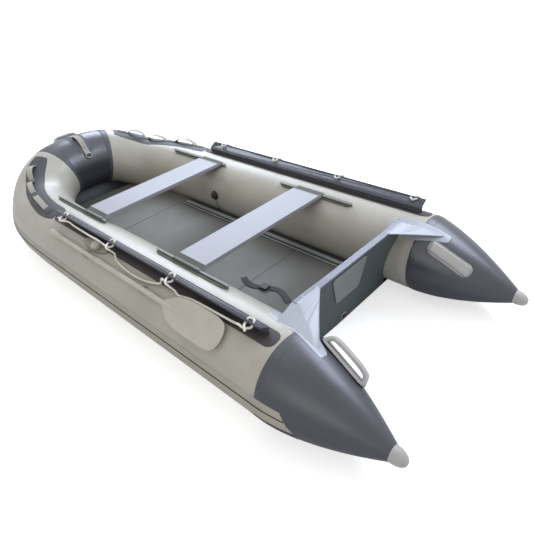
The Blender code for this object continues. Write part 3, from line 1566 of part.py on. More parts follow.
bow_tube(slate)
rub_strake(strake_rubber)
hull_bottom(slate)
keel_tube(slate)
bow_floor_panel(floor_metal)
joints = [aft(joint) for joint in FLOOR_JOINTS_AFT]
floor_rear = transom_foot() + TRANSOM_THICKNESS
floor_panel("front_floor_panel", joints[0], joints[1], floor_metal)
floor_panel("middle_floor_panel", joints[1], joints[2], floor_metal)
floor_panel("rear_floor_panel", joints[2], floor_rear, floor_metal)
transom_board(board_teal)
transom_cap(cap_metal)
motor_plate(plate_plastic)
drain_body(light_trim)
drain_plug(dark_plastic)
bench("front_seat", FRONT_SEAT_AFT, bench_metal)
bench("rear_seat", REAR_SEAT_AFT, bench_metal)
bow_carry_strap(light_webbing)
bow_d_ring(steel)
bow_handle(handle_plastic)
floor_strap(dark_webbing)
strap_buckle(dark_plastic)

for prefix, side in SIDES:
    side_tube(prefix + "_side_tube", side, hull_grey)
    stern_cone(prefix + "_stern_cone", side, slate)
    cone_cap(prefix + "_cone_cap", side, light_trim)
    bow_baffle(prefix + "_bow_baffle", side, hull_grey)
    floor_stringer(prefix + "_floor_stringer", side, floor_metal)
    gusset(prefix + "_gusset", side, gusset_fabric)
    seat_track(prefix + "_front_seat_track", FRONT_TRACK_ENDS_AFT, side, track_rubber)
    seat_track(prefix + "_rear_seat_track", REAR_TRACK_ENDS_AFT, side, track_rubber)
    lifeline_rail(prefix + "_lifeline_rail", side, rail_plastic)
    lifeline(prefix + "_lifeline", side, rope_white)
    grab_patch(prefix + "_grab_patch", side, slate_rubber)
    stern_handle(prefix + "_stern_handle", side, handle_plastic)
    valve_body(prefix + "_valve_body", side, dark_plastic)
    valve_cap(prefix + "_valve_cap", side, dark_plastic)
    rowlock_base(prefix + "_rowlock_base", side, grey_plastic)
    rowlock_knob(prefix + "_rowlock_knob", side, grey_plastic)
    oar_shaft(prefix + "_oar_shaft", side, oar_plastic)
    oar_blade(prefix + "_oar_blade", side, oar_plastic)
    for place, distance in zip(("front", "rear"), OAR_CLIPS_AFT):
        oar_clip(f"{prefix}_{place}_oar_clip", distance, side, grey_plastic)
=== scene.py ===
import math

import bmesh
import bpy
import numpy as np
from mathutils import Matrix, Vector


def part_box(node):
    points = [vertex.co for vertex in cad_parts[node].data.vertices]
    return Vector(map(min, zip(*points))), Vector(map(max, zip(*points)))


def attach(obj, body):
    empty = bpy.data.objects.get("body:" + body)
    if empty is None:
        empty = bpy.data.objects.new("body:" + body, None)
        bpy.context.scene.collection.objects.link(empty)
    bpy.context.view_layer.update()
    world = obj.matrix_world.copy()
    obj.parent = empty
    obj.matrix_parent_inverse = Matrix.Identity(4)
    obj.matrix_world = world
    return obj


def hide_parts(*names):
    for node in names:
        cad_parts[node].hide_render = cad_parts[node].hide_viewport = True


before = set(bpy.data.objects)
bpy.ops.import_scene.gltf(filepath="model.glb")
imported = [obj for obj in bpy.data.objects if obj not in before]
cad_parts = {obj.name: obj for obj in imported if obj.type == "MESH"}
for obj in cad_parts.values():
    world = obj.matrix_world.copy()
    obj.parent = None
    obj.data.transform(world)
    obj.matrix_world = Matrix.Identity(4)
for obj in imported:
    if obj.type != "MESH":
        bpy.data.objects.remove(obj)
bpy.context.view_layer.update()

# The hull's sizes, as in the part's source
TUBE_RADIUS = 0.21
TUBE_HALF_SPACING = 0.5638
STRAIGHT_LENGTH = 1.7591
BOW_REACH = 0.9125
BOW_RADIUS = 0.2045
BOW_RISE = 0.135
RISE_LENGTH = 0.3266
CONE_LENGTH = 0.487
CONE_END_RADIUS = 0.034
CAP_LENGTH = 0.056
CAP_END_RADIUS = 0.006
CAP_END_HEIGHT = 0.129
CONE_FULLNESS = 1.5
BEND_FULLNESS = 2.79
RISE_POWER = 1.88
BOW_SEAM_TURN = math.radians(74.86)
STRAKE_THICKNESS = 0.007
SKIN_GAP = 0.0008
FLOOR_TOP = 0.109
TRANSOM_AFT = 1.6861
TRANSOM_TOP = 0.445
TRANSOM_THICKNESS = 0.0235
TRANSOM_RAKE = math.radians(12)
TRANSOM_CAP_WALL = 0.0025
BOW_EXTENT = BOW_REACH + BOW_RADIUS + STRAKE_THICKNESS + SKIN_GAP
SHOULDER_X = (STRAIGHT_LENGTH + CONE_LENGTH + CAP_LENGTH - BOW_EXTENT) / 2
SINK = 0.0012
PORT = 1
SIDES = (("port", PORT), ("starboard", -1))

# Camera, solved from the photograph
CAMERA_PLACE = (-2.1169, 1.5280, 1.6865)
CAMERA_HEADING = math.radians(-43.3602)
CAMERA_DROP = math.radians(35.1303)
CAMERA_ROLL = math.radians(-5.9802)
FOCAL_PIXELS = 477.2245
PHOTO_LONG_SIDE = 544
SENSOR = 36


def make_camera():
    data = bpy.data.cameras.new("camera")
    data.sensor_width = SENSOR
    data.lens = FOCAL_PIXELS * SENSOR / PHOTO_LONG_SIDE
    data.clip_start, data.clip_end = 0.05, 100
    heading, drop, roll = CAMERA_HEADING, CAMERA_DROP, CAMERA_ROLL
    look = Vector((math.cos(drop) * math.cos(heading), math.cos(drop) * math.sin(heading), -math.sin(drop)))
    level = Vector((math.sin(heading), -math.cos(heading), 0))
    upright = level.cross(look)
    right = level * math.cos(roll) + upright * math.sin(roll)
    up = upright * math.cos(roll) - level * math.sin(roll)
    camera = bpy.data.objects.new("camera", data)
    camera.matrix_world = Matrix.Translation(CAMERA_PLACE) @ Matrix((right, up, -look)).transposed().to_4x4()
    bpy.context.scene.collection.objects.link(camera)
    bpy.context.scene.camera = camera


def both_sides(*makers):
    for prefix, side in SIDES:
        for make in makers:
            make(prefix, side)


# Lines and numbers


def unit(vectors):
    return vectors / np.linalg.norm(vectors, axis=-1)[..., None]


def run_lengths(points):
    """Cumulative lengths along a path."""
    return np.concatenate([[0], np.cumsum(np.linalg.norm(np.diff(points, axis=0), axis=1))])


def legs(start, *ends):
    """Numbers from start through each (end, count)."""
    found = [np.array([float(start)])]
    for end, count in ends:
        found.append(np.linspace(found[-1][-1], end, count)[1:])
    return np.concatenate(found)


def eased(gap, edge):
    """0 at an edge, 1 beyond its rounding, along a quarter circle."""
    share = np.clip(np.asarray(gap, float) / edge, 0, 1)
    return np.sqrt(np.clip(1 - (1 - share) ** 2, 0, 1))


ROUNDING_SHARES = np.array([0, 0.12, 0.4, 1])


def rounded_marks(start, end, edge, count):
    """Places from start to end, with extra ones at the rounded ends."""
    near = ROUNDING_SHARES * edge
    middle = np.linspace(start + edge, end - edge, count)[1:-1]
    return np.concatenate([start + near, middle, end - near[::-1]])


def spaced(front, rear, step, edge=0.003):
    """Distances from rear to front, closer at the rounded ends."""
    return rounded_marks(rear, front, edge, max(2, round((front - rear) / step)))


def smooth_path(points, step):
    """Points on a smooth curve through the given ones."""
    points = np.asarray(points, float)
    ends = np.vstack([points[0] * 2 - points[1], points, points[-1] * 2 - points[-2]])
    found = []
    for before, start, end, after in zip(ends, ends[1:], ends[2:], ends[3:]):
        pieces = max(1, round(float(np.linalg.norm(end - start)) / step))
        t = (np.arange(pieces) / pieces)[:, None]
        square = (2 * before - 5 * start + 4 * end - after) * t**2
        cube = (3 * start - before - 3 * end + after) * t**3
        found.append((2 * start + (end - before) * t + square + cube) / 2)
    return np.vstack(found + [points[-1:]])


def smooth_table(shares, table, column=1):
    """A gentle version of a table's broken line, read at the given shares."""
    rows = np.array(table)
    fine = np.linspace(0, 1, 400)
    kernel = np.hanning(41)
    padded = np.pad(np.interp(fine, rows[:, 0], rows[:, column]), 20, mode="edge")
    return np.interp(shares, fine, np.convolve(padded, kernel / kernel.sum(), mode="valid"))


def rounded(points, corner=0.0012, steps=3, closed=False):
    """Rounds the corners of an outline; an open one keeps its two ends."""
    points = [np.array(point, float) for point in points]
    made = [] if closed else points[:1]
    for k in range(len(points)) if closed else range(1, len(points) - 1):
        before, here, after = points[k - 1], points[k], points[(k + 1) % len(points)]
        first, last = before - here, after - here
        reach = min(corner, np.linalg.norm(first) * 0.45, np.linalg.norm(last) * 0.45)
        start, end = here + unit(first) * reach, here + unit(last) * reach
        for t in np.arange(steps + 1) / steps:
            made.append((1 - t) ** 2 * start + 2 * t * (1 - t) * here + t**2 * end)
    return made if closed else made + points[-1:]


def circle(radius, count=16):
    turn = np.linspace(0, 2 * math.pi, count, endpoint=False)
    return np.stack([radius * np.cos(turn), radius * np.sin(turn)], 1)


def rounded_box(width, height, corner, steps=4, low=None):
    """A rounded rectangle of (across, up) points; low puts its underside at that height."""
    middle = 0 if low is None else low + height / 2
    points = []
    for quarter, (sx, sy) in enumerate(((1, 1), (-1, 1), (-1, -1), (1, -1))):
        for k in range(steps + 1):
            angle = math.radians(90 * (quarter + k / steps))
            across = sx * (width / 2 - corner) + corner * math.cos(angle)
            points.append((across, sy * (height / 2 - corner) + corner * math.sin(angle) + middle))
    return points


# Geometry of the air tubes


def bend_table():
    turn = np.linspace(0, math.pi / 2, 1500)
    power = 2 / BEND_FULLNESS
    reach = np.sin(turn) ** power
    x = SHOULDER_X + BOW_REACH * reach
    y = TUBE_HALF_SPACING * np.abs(np.cos(turn)) ** power
    y[-1] = 0
    rise = np.clip((x - SHOULDER_X - BOW_REACH) / RISE_LENGTH + 1, 0, 1) ** RISE_POWER
    points = np.stack([x, y, TUBE_RADIUS + BOW_RISE * rise], 1)
    distance = run_lengths(points)
    tangent = np.gradient(points, distance, axis=0)
    tangent[0], tangent[-1] = (1, 0, 0), (0, -1, 0)
    radius = TUBE_RADIUS + (BOW_RADIUS - TUBE_RADIUS) * reach
    return {"turn": turn, "distance": distance, "points": points, "tangent": tangent, "radius": radius}


BEND = bend_table()
BOW_DISTANCE = float(BEND["distance"][-1])
SEAM_DISTANCE = float(np.interp(BOW_SEAM_TURN, BEND["turn"], BEND["distance"]))
STATION_STEP = SEAM_DISTANCE / 21


def centre_line(distance):
    """Centres, tangents, outboard and up directions and radii at distances forward of the shoulder."""
    distance = np.asarray(distance, float)
    aft_run = np.clip(-STRAIGHT_LENGTH - distance, 0, CONE_LENGTH + CAP_LENGTH)
    height = TUBE_RADIUS + (CAP_END_HEIGHT - TUBE_RADIUS) * (aft_run / (CONE_LENGTH + CAP_LENGTH))
    narrowing = np.minimum(aft_run / CONE_LENGTH, 1) ** CONE_FULLNESS
    cap_run = np.clip((aft_run - CONE_LENGTH) / CAP_LENGTH, 0, 1)
    cap_radius = CAP_END_RADIUS + (CONE_END_RADIUS - CAP_END_RADIUS) * np.sqrt(1 - cap_run**2)
    radius = np.where(
        aft_run > CONE_LENGTH, cap_radius, TUBE_RADIUS + (CONE_END_RADIUS - TUBE_RADIUS) * narrowing
    )
    centre = np.stack([SHOULDER_X + distance, np.full_like(distance, TUBE_HALF_SPACING), height], -1)
    tangent = np.zeros_like(centre)
    tangent[:, 0] = 1
    bent = distance > 0
    for k in range(3):
        centre[bent, k] = np.interp(distance[bent], BEND["distance"], BEND["points"][:, k])
        tangent[bent, k] = np.interp(distance[bent], BEND["distance"], BEND["tangent"][:, k])
    radius[bent] = np.interp(distance[bent], BEND["distance"], BEND["radius"])
    tangent = unit(tangent)
    outboard = unit(np.stack([-tangent[:, 1], tangent[:, 0], np.zeros(len(tangent))], -1))
    return centre, tangent, outboard, np.cross(tangent, outboard), radius


def skin(distance, degrees, lift=0.0, side=PORT):
    """Points over the tube's skin, at angles from its top that are positive outboard."""
    distance, degrees, lift = np.broadcast_arrays(distance, degrees, lift)
    centre, _, outboard, up, radius = centre_line(distance.ravel())
    angle = np.radians(degrees.ravel())[:, None]
    spoke = np.sin(angle) * outboard + np.cos(angle) * up
    points = centre + (radius + lift.ravel())[:, None] * spoke
    points[:, 1] *= side
    return points.reshape(*distance.shape, 3)


def skin_run(run, degrees, lift=0.0):
    """As skin(), but along the whole horseshoe: run is 0 at the bow, negative to port."""
    run, degrees, lift = np.broadcast_arrays(run, degrees, lift)
    points = skin(BOW_DISTANCE - np.abs(run), degrees, lift)
    points[..., 1] *= np.where(run > 0, -1, 1)
    return points


def skin_normals(distance, degrees, side=PORT):
    return skin(distance, degrees, 1.0, side) - skin(distance, degrees, 0.0, side)


def aft(distance):
    return SHOULDER_X - distance


def frame_matrix(origin, along, normal):
    along = Vector(along).normalized()
    normal = Vector(normal)
    normal = (normal - along * normal.dot(along)).normalized()
    return Matrix.Translation(origin) @ Matrix((along, normal.cross(along), normal)).transposed().to_4x4()


def skin_frame(distance, degrees, lift=0.0, side=PORT):
    """A matrix on the skin: x runs forward along the tube and z points away from it."""
    centre, tangent, outboard, up, radius = (part[0] for part in centre_line([distance]))
    angle = math.radians(degrees)
    normal = math.sin(angle) * outboard + math.cos(angle) * up
    flip = np.array([1, side, 1])
    return frame_matrix((centre + (radius + lift) * normal) * flip, tangent * flip, normal * flip)


# Materials


def srgb(channels):
    channels = np.array(channels) / 255
    linear = np.where(channels <= 0.04045, channels / 12.92, ((channels + 0.055) / 1.055) ** 2.4)
    return tuple(linear.tolist())


def node(tree, kind, settings=None, **values):
    """Adds a node; values go to the inputs of those names, or i0, i1 and so on by place."""
    made = tree.nodes.new("ShaderNode" + kind)
    for name, value in (settings or {}).items():
        setattr(made, name, value)
    for name, value in values.items():
        socket = made.inputs[int(name[1:])] if name[0] == "i" and name[1:].isdigit() else made.inputs[name]
        if isinstance(value, bpy.types.NodeSocket):
            tree.links.new(value, socket)
        else:
            socket.default_value = value
    return made


def math_node(tree, operation, first, second=0.0):
    return node(tree, "Math", {"operation": operation}, i0=first, i1=second).outputs[0]


def noise(tree, place, scale, detail, **values):
    return node(tree, "TexNoise", Vector=place, Scale=scale, Detail=detail, **values).outputs["Fac"]


def mapped(tree, value, source=(0.0, 1.0), target=(0.0, 1.0)):
    """Carries one range of values over to another."""
    names = ("From Min", "From Max", "To Min", "To Max")
    return node(tree, "MapRange", Value=value, **dict(zip(names, source + target))).outputs["Result"]


def blended(tree, share, first, second):
    return node(tree, "Mix", {"data_type": "RGBA"}, Factor=share, i6=first, i7=second).outputs[2]


def shade(colour, share):
    return tuple(max(0.0, channel * share) for channel in colour[:3]) + (1.0,)


DRIFT_RANGE = (0.3, 0.7)
WEAR_RANGE = (0.55, 0.8)
WORN_SHADE = 0.72
GLOSS_DRIFT = 0.06


def base_look(name, colour, roughness, metallic=0.0, spread=0.07, scale=5.0, specular=0.5, grime=0.0):
    """A principled shader whose colour and roughness drift softly over the piece."""
    colour = srgb(colour)
    material = bpy.data.materials.new(name)
    material.use_nodes = True
    tree = material.node_tree
    shader = tree.nodes["Principled BSDF"]
    place = node(tree, "TexCoord").outputs["Object"]
    drift = mapped(tree, noise(tree, place, scale, 4.0, Roughness=0.6), DRIFT_RANGE)
    tint = blended(tree, drift, shade(colour, 1 - spread), shade(colour, 1 + spread))
    if grime:
        wear = mapped(tree, noise(tree, place, scale * 9, 6.0, Roughness=0.7), WEAR_RANGE, (0.0, grime))
        tint = blended(tree, wear, tint, shade(colour, WORN_SHADE))
    span = (max(0.02, roughness - GLOSS_DRIFT), min(1.0, roughness + GLOSS_DRIFT))
    tree.links.new(tint, shader.inputs["Base Color"])
    tree.links.new(mapped(tree, noise(tree, place, scale * 7, 3.0), target=span), shader.inputs["Roughness"])
    shader.inputs["Metallic"].default_value = metallic
    shader.inputs["Specular IOR Level"].default_value = specular
    return material, tree, shader, place


def add_bump(tree, shader, height, distance, strength=1.0):
    """Stacks a bump on whatever bump the shader already has."""
    bump = node(tree, "Bump", Height=height, Distance=distance, Strength=strength)
    links = shader.inputs["Normal"].links
    if links:
        tree.links.new(links[0].from_socket, bump.inputs["Normal"])
    tree.links.new(bump.outputs["Normal"], shader.inputs["Normal"])


def metres(tree):
    """The piece's own surface coordinates, in metres along and across."""
    split = node(tree, "SeparateXYZ", Vector=node(tree, "UVMap", {"uv_map": "metres"}).outputs["UV"])
    return split.outputs["X"], split.outputs["Y"]


def waves(tree, value, pitch):
    return math_node(tree, "SINE", math_node(tree, "MULTIPLY", value, 2 * math.pi / pitch))


def coated_fabric(name, colour, roughness, weave=0.0012, ripple=0.0010, coat=0.0, **options):
    """PVC-coated cloth: a faint weave under the coating and broad soft ripples."""
    material, tree, shader, place = base_look(name, colour, roughness, **options)
    shader.inputs["Coat Weight"].default_value = coat
    shader.inputs["Coat Roughness"].default_value = 0.28
    along, across = metres(tree)
    cloth = math_node(tree, "MULTIPLY", waves(tree, along, weave), waves(tree, across, weave))
    add_bump(tree, shader, cloth, 0.00003, 0.35)
    add_bump(tree, shader, noise(tree, place, 7.0, 2.0), ripple * 6, 0.35)
    return material


def woven_webbing(name, colour, roughness=0.75, rib=0.004):
    material, tree, shader, _ = base_look(name, colour, roughness, scale=30.0)
    along, across = metres(tree)
    ribs = waves(tree, across, rib)
    thread = waves(tree, along, rib * 0.55)
    add_bump(tree, shader, ribs, 0.0004, 0.6)
    add_bump(tree, shader, math_node(tree, "MULTIPLY", ribs, thread), 0.0003, 0.5)
    return material


def moulded(name, colour, roughness=0.5):
    """Moulded plastic or rubber with a fine grain."""
    material, tree, shader, place = base_look(name, colour, roughness, scale=12.0)
    add_bump(tree, shader, noise(tree, place, 900.0, 2.0), 0.0002, 0.3)
    return material


def streaked(tree, shader, place, stretch, detail, depth, strength, **values):
    """A bump whose grain is drawn out along one direction."""
    grain = node(tree, "Mapping", Vector=place, Scale=stretch).outputs["Vector"]
    add_bump(tree, shader, noise(tree, grain, 1.0, detail, **values), depth, strength)


def brushed_metal(name, colour, roughness, stretch=(2.0, 260.0, 260.0), metallic=0.35, **options):
    material, *parts = base_look(name, colour, roughness, metallic=metallic, **options)
    streaked(*parts, stretch, 4.0, 0.00008, 0.5)
    return material


def painted_board(name, colour):
    material, *parts = base_look(name, colour, 0.5, spread=0.12, scale=3.0, grime=0.3)
    streaked(*parts, (40.0, 3.0, 60.0), 5.0, 0.0006, 0.35, Distortion=0.6)
    return material


ROPE_LAY = (90.0, 250.0)


def laid_rope(name, colour):
    """Plaited rope: strands that cross as they wind both ways."""
    material, tree, shader, _ = base_look(name, colour, 0.8, scale=40.0, spread=0.05)
    along, across = (math_node(tree, "MULTIPLY", run, turns) for run, turns in zip(metres(tree), ROPE_LAY))
    strands = (waves(tree, math_node(tree, way, along, across), 1.0) for way in ("ADD", "SUBTRACT"))
    add_bump(tree, shader, math_node(tree, "MAXIMUM", *strands), 0.0006, 0.6)
    return material


HULL = coated_fabric("hull_fabric", (178, 175, 165), 0.36, coat=0.15)
SLATE = coated_fabric("slate_fabric", (46, 49, 60), 0.36, specular=0.8, coat=0.25)
# The bottom's own dark grey, made darker still to paint the shade in the bow well
BOTTOM = coated_fabric("bottom_fabric_and_painted_shade", (50, 52, 55), 0.55)
PATCH = coated_fabric("patch_rubber", (64, 65, 71), 0.55, ripple=0.0004, scale=14.0)
TAPE = coated_fabric("seam_tape", (74, 77, 84), 0.45, ripple=0.0003, scale=14.0)
PALE_TAPE = coated_fabric("pale_tape", (182, 176, 169), 0.5, ripple=0.0003, scale=14.0)
GUSSET = coated_fabric("gusset_fabric", (176, 181, 192), 0.30, 0.0015, 0.0006, specular=0.6, scale=2.5)
STRAKE = moulded("strake_rubber", (170, 167, 156))
STRAKE_LINE = moulded("strake_groove", (70, 66, 60), 0.7)
RAIL = moulded("rail_plastic", (66, 67, 76), 0.42)
RAIL_FOOT = moulded("rail_foot", (64, 60, 60), 0.6)
SHOE = moulded("shoe_plastic", (96, 98, 92), 0.55)
TRACK_HEAD = moulded("track_head", (138, 139, 135))
RUBBER = moulded("track_rubber", (104, 107, 97), 0.6)
CAP = moulded("cap_plastic", (176, 173, 172), 0.45)
HANDLE = moulded("handle_plastic", (182, 181, 180), 0.4)
ROWLOCK = moulded("rowlock_plastic", (150, 146, 136))
KNOB = moulded("knob_plastic", (182, 178, 170), 0.42)
OAR = moulded("oar_plastic", (196, 191, 182), 0.38)
DARK = moulded("dark_plastic", (48, 47, 49))
CLIP = moulded("clip_plastic", (176, 173, 166), 0.45)
WEBBING = woven_webbing("light_webbing", (176, 172, 164))
DARK_WEBBING = woven_webbing("dark_webbing", (62, 66, 70))
HATCHED = woven_webbing("hatched_pad", (84, 88, 98), 0.6, rib=0.009)
THREAD = moulded("thread", (214, 214, 216), 0.7)
BENCH = brushed_metal("bench_metal", (153, 154, 162), 0.5, (220.0, 1.5, 220.0), 0.15, spread=0.03)
FLOOR = brushed_metal("floor_metal", (99, 98, 92), 0.55, metallic=0.2, spread=0.16, scale=2.2, grime=0.25)
# The stringers' lip is lighter than the floor metal, partly a painted highlight on its ridges; the faces
# below it are darker, a painted shade
STRINGER = brushed_metal("stringer_metal_painted_highlight", (168, 172, 176), 0.36)
SHADED_CHANNEL = brushed_metal("channel_painted_shade", (66, 68, 68), 0.5)
TRIM = brushed_metal("trim_metal", (138, 140, 152), 0.4)
STEEL = brushed_metal("ring_steel", (190, 190, 192), 0.25, (50.0, 50.0, 50.0))
BOARD = painted_board("board_paint", (72, 84, 88))
PLATE = moulded("plate_rubber", (126, 131, 131), 0.35)
ROPE = laid_rope("rope_fibre", (240, 237, 231))


# Mesh helpers


def new_object(name, vertices, faces, material, uv=None, sharp=40.0):
    mesh = bpy.data.meshes.new(name)
    mesh.from_pydata([tuple(map(float, v)) for v in vertices], [], [tuple(map(int, f)) for f in faces])
    if uv is not None:
        mesh.uv_layers.new(name="metres").data.foreach_set("uv", np.asarray(uv, np.float32).ravel())
    work = bmesh.new()
    work.from_mesh(mesh)
    bmesh.ops.recalc_face_normals(work, faces=work.faces)
    work.to_mesh(mesh)
    work.free()
    mesh.shade_smooth()
    mesh.set_sharp_from_angle(angle=math.radians(sharp))
    mesh.materials.append(material)
    obj = bpy.data.objects.new(name, mesh)
    bpy.context.scene.collection.objects.link(obj)
    return obj


def tube_mesh(name, rings, material, sharp=40.0):
    """A closed solid skinned over rings of equal point counts, with its first and last ring filled."""
    rings = np.asarray(rings, float)
    rows, columns = rings.shape[:2]
    row = (np.arange(rows - 1) * columns)[:, None]
    here = np.arange(columns)[None, :]
    after = (here + 1) % columns
    corners = [row + here, row + after, row + columns + after, row + columns + here]
    faces = np.stack(corners, -1).reshape(-1, 4).tolist()
    faces += [list(range(columns)), list(range((rows - 1) * columns, rows * columns))]
    widest = int(np.argmax(np.linalg.norm(np.diff(rings, axis=1), axis=2).sum(1)))
    along = run_lengths(rings[:, columns // 2])[:, None, None]
    around = run_lengths(np.vstack([rings[widest], rings[widest][:1]]))[:, None]
    uv = np.zeros((rows - 1, columns, 4, 2))
    uv[:, :, :2, 0], uv[:, :, 2:, 0] = along[:-1], along[1:]
    uv[:, :, [0, 3], 1], uv[:, :, [1, 2], 1] = around[:-1], around[1:]
    uv = np.vstack([uv.reshape(-1, 2), rings[0][:, 1:], rings[-1][:, 1:]])
    return new_object(name, rings.reshape(-1, 3), faces, material, uv, sharp)


def sheet_mesh(name, top, bottom, material, sharp=40.0):
    """A thin closed sheet given by its two faces."""
    return tube_mesh(name, np.concatenate([top, bottom[:, ::-1]], axis=1), material, sharp)


def skin_patch(name, distances, low, high, thickness, material, side, edge=0.003, count=16, lift=-SINK):
    """A thin closed solid on the skin between two angles, which may change along it."""
    shape = distances.shape
    low, high, lift = (np.broadcast_to(np.asarray(part, float), shape) for part in (low, high, lift))
    ends = np.minimum(np.abs(distances - distances[0]), np.abs(distances[-1] - distances))
    width = float(np.radians(np.max(high - low)) * TUBE_RADIUS)
    share = rounded_marks(0, 1, min(edge, width * 0.45) / width, count)
    degrees = low[:, None] + (high - low)[:, None] * share
    gap = np.minimum(share, 1 - share) * np.radians(high - low)[:, None] * TUBE_RADIUS
    height = thickness * eased(gap, edge) * eased(ends, edge)[:, None]
    lift = lift[:, None]
    top = skin(distances[:, None], degrees, lift + SINK * (lift < 0) + height, side)
    return sheet_mesh(name, top, skin(distances[:, None], degrees, lift, side), material)


def rounded_span(distances, front, rear, low, high, corner):
    """Edge angles of a patch whose corners are rounded in plan."""
    gap = np.minimum(front - distances, distances - rear)
    degrees = np.degrees(corner * (1 - eased(gap, corner)) / TUBE_RADIUS)
    return low + degrees, high - degrees


def swept(name, path, profile, material, normals=None, sharp=40.0, scale=1.0):
    """A closed profile of (across, up) points carried along a path."""
    path = np.asarray(path, float)
    tangent = unit(np.gradient(path, axis=0))
    if normals is None:
        normals = carried_normals(tangent)
    normals = np.broadcast_to(np.asarray(normals, float), path.shape)
    up = unit(normals - tangent * np.sum(normals * tangent, 1)[:, None])
    profile = np.asarray(profile, float) * np.broadcast_to(scale, len(path))[:, None, None]
    rings = path[:, None] + np.cross(up, tangent)[:, None] * profile[..., :1] + up[:, None] * profile[..., 1:]
    return tube_mesh(name, rings, material, sharp)


def carried_normals(tangent):
    """Normals that turn with the path as little as they can."""
    normal = np.cross(tangent[0], (0.0, 0.0, 1.0))
    if np.linalg.norm(normal) < 0.1:
        normal = np.cross(tangent[0], (0.0, 1.0, 0.0))
    found = []
    for direction in tangent:
        normal = unit(normal - direction * np.dot(normal, direction))
        found.append(normal)
    return np.array(found)


def prism_x(name, outline, rear, front, material, edge=0.0015):
    """An outline in (y, z), carried along X with slightly rounded ends."""
    outline = np.asarray(outline, float)
    inward = outline.mean(0) - outline
    inward /= np.maximum(np.linalg.norm(inward, axis=1), 1e-6)[:, None]
    near = ((0, 1), (edge * 0.4, 0.35), (edge, 0))
    stops = [(rear + reach, shrink) for reach, shrink in near]
    stops += [(front - reach, shrink) for reach, shrink in near[::-1]]
    rings = [np.insert(outline + inward * edge * shrink, 0, x, axis=1) for x, shrink in stops]
    return tube_mesh(name, rings, material)


def turned(name, profile, matrix, material, steps=48, ribs=0, depth=0.0, rib_span=None):
    """A profile of (radius, height) points turned about the frame's z, with optional ribs round it."""
    turn = np.linspace(0, 2 * math.pi, steps, endpoint=False)
    rings = []
    for radius, height in profile:
        reach = np.full(steps, radius)
        if ribs and rib_span[0] <= height <= rib_span[1]:
            reach = radius - depth * (0.5 - 0.5 * np.cos(turn * ribs)) ** 2
        rings.append(np.stack([reach * np.cos(turn), reach * np.sin(turn), np.full(steps, height)], 1))
    obj = tube_mesh(name, rings, material, 50.0)
    obj.data.transform(matrix)
    return obj


def stitches(name, distances, degrees, lift, side, material, length=0.004, gap=0.003, radius=0.0005):
    """Short threads laid end to end along a line on the skin."""
    path, normals = skin(distances, degrees, lift, side), skin_normals(distances, degrees, side)
    run = run_lengths(path)
    vertices, faces = [], []
    for start in np.arange(gap, run[-1] - length, length + gap):
        reach = start + np.array([0, 0.25, 0.75, 1]) * length
        spot = np.stack([np.interp(reach, run, path[:, k]) for k in range(3)], 1)
        normal = np.array([np.interp(start, run, normals[:, k]) for k in range(3)])
        across = np.cross(normal, unit(spot[-1] - spot[0]))
        base = len(vertices)
        for place, size in zip(spot, (0.35, 1, 1, 0.35)):
            for x, y in circle(size * radius, 4):
                vertices.append(place + x * across + y * normal)
        for low in range(base, base + 12, 4):
            faces += [(low + k, low + (k + 1) % 4, low + 4 + (k + 1) % 4, low + 4 + k) for k in range(4)]
        faces += [tuple(range(base, base + 4)), tuple(range(base + 12, base + 16))]
    add(new_object(name, vertices, faces, material, np.zeros((4 * len(faces), 2))))


def join(name, objects):
    """Joins pieces into one object that keeps each one's material."""
    for obj in bpy.context.selected_objects:
        obj.select_set(False)
    for obj in objects:
        obj.select_set(True)
    whole = bpy.context.view_layer.objects.active = objects[0]
    bpy.ops.object.join()
    whole.name = whole.data.name = name
    whole.select_set(False)
    return whole


def cut(obj, tool):
    """Cuts the tool out of the piece and deletes the tool."""
    modifier = obj.modifiers.new("cut", "BOOLEAN")
    modifier.operation = "DIFFERENCE"
    modifier.object = tool
    mesh = bpy.data.meshes.new_from_object(obj.evaluated_get(bpy.context.evaluated_depsgraph_get()))
    obj.modifiers.clear()
    obj.data = mesh
    bpy.data.objects.remove(tool)


def add(obj, *nodes, body="hull"):
    """Puts a piece on its body, in place of the CAD nodes it stands for."""
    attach(obj, body)
    if nodes:
        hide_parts(*nodes)
    return obj


def dress(name, material, bevel=0.0012):
    """Gives a CAD node its material and small rounded edges."""
    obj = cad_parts[name]
    obj.data.materials.clear()
    obj.data.materials.append(material)
    obj.data.polygons.foreach_set("material_index", [0] * len(obj.data.polygons))
    weld = obj.modifiers.new("weld", "WELD")
    weld.merge_threshold = 0.00001
    edge = obj.modifiers.new("bevel", "BEVEL")
    edge.width = bevel
    edge.segments = 2
    edge.limit_method = "ANGLE"
    edge.angle_limit = math.radians(35)
    edge.harden_normals = False
    return obj


def shade_faces(obj, material, wanted):
    """Gives a second material to the faces that pass the test."""
    obj.data.materials.append(material)
    for face in obj.data.polygons:
        if wanted(face):
            face.material_index = len(obj.data.materials) - 1


# Lifelines, the free cords
RAIL_ANGLE = math.radians(9.4)
RAIL_TILT = math.radians(32.8)
RAIL_HEIGHT = 0.0492
RAIL_WIDTH = 0.062
RAIL_THICKNESS = 0.008
RAIL_WEB = 0.012
RAIL_WEB_INSET = 0.0155
RAIL_FRONT_AFT = 0.012
RAIL_REAR_AFT = 1.6921
RAIL_PATCH_ENDS_AFT = (-0.0459, 1.7441)
RAIL_PATCH_ANGLES = (-1, 22)
RAIL_PATCH_CORNER = 0.036
PATCH_THICKNESS = 0.0025
RAIL_GROOVE = 0.0013
RAIL_GROOVE_OFFSETS = (-RAIL_WIDTH / 2 + 0.007, RAIL_WIDTH / 2 - 0.006)
RAIL_HOLE_RADIUS = 0.0068
RAIL_HOLE_INSET = 0.0125
ROPE_RADIUS = 0.005
ROPE_FIRST_AFT = 0.1251
ROPE_PITCH = 0.5007
ROPE_STATIONS = 4
ROPE_HOLE_REACH = 0.0165

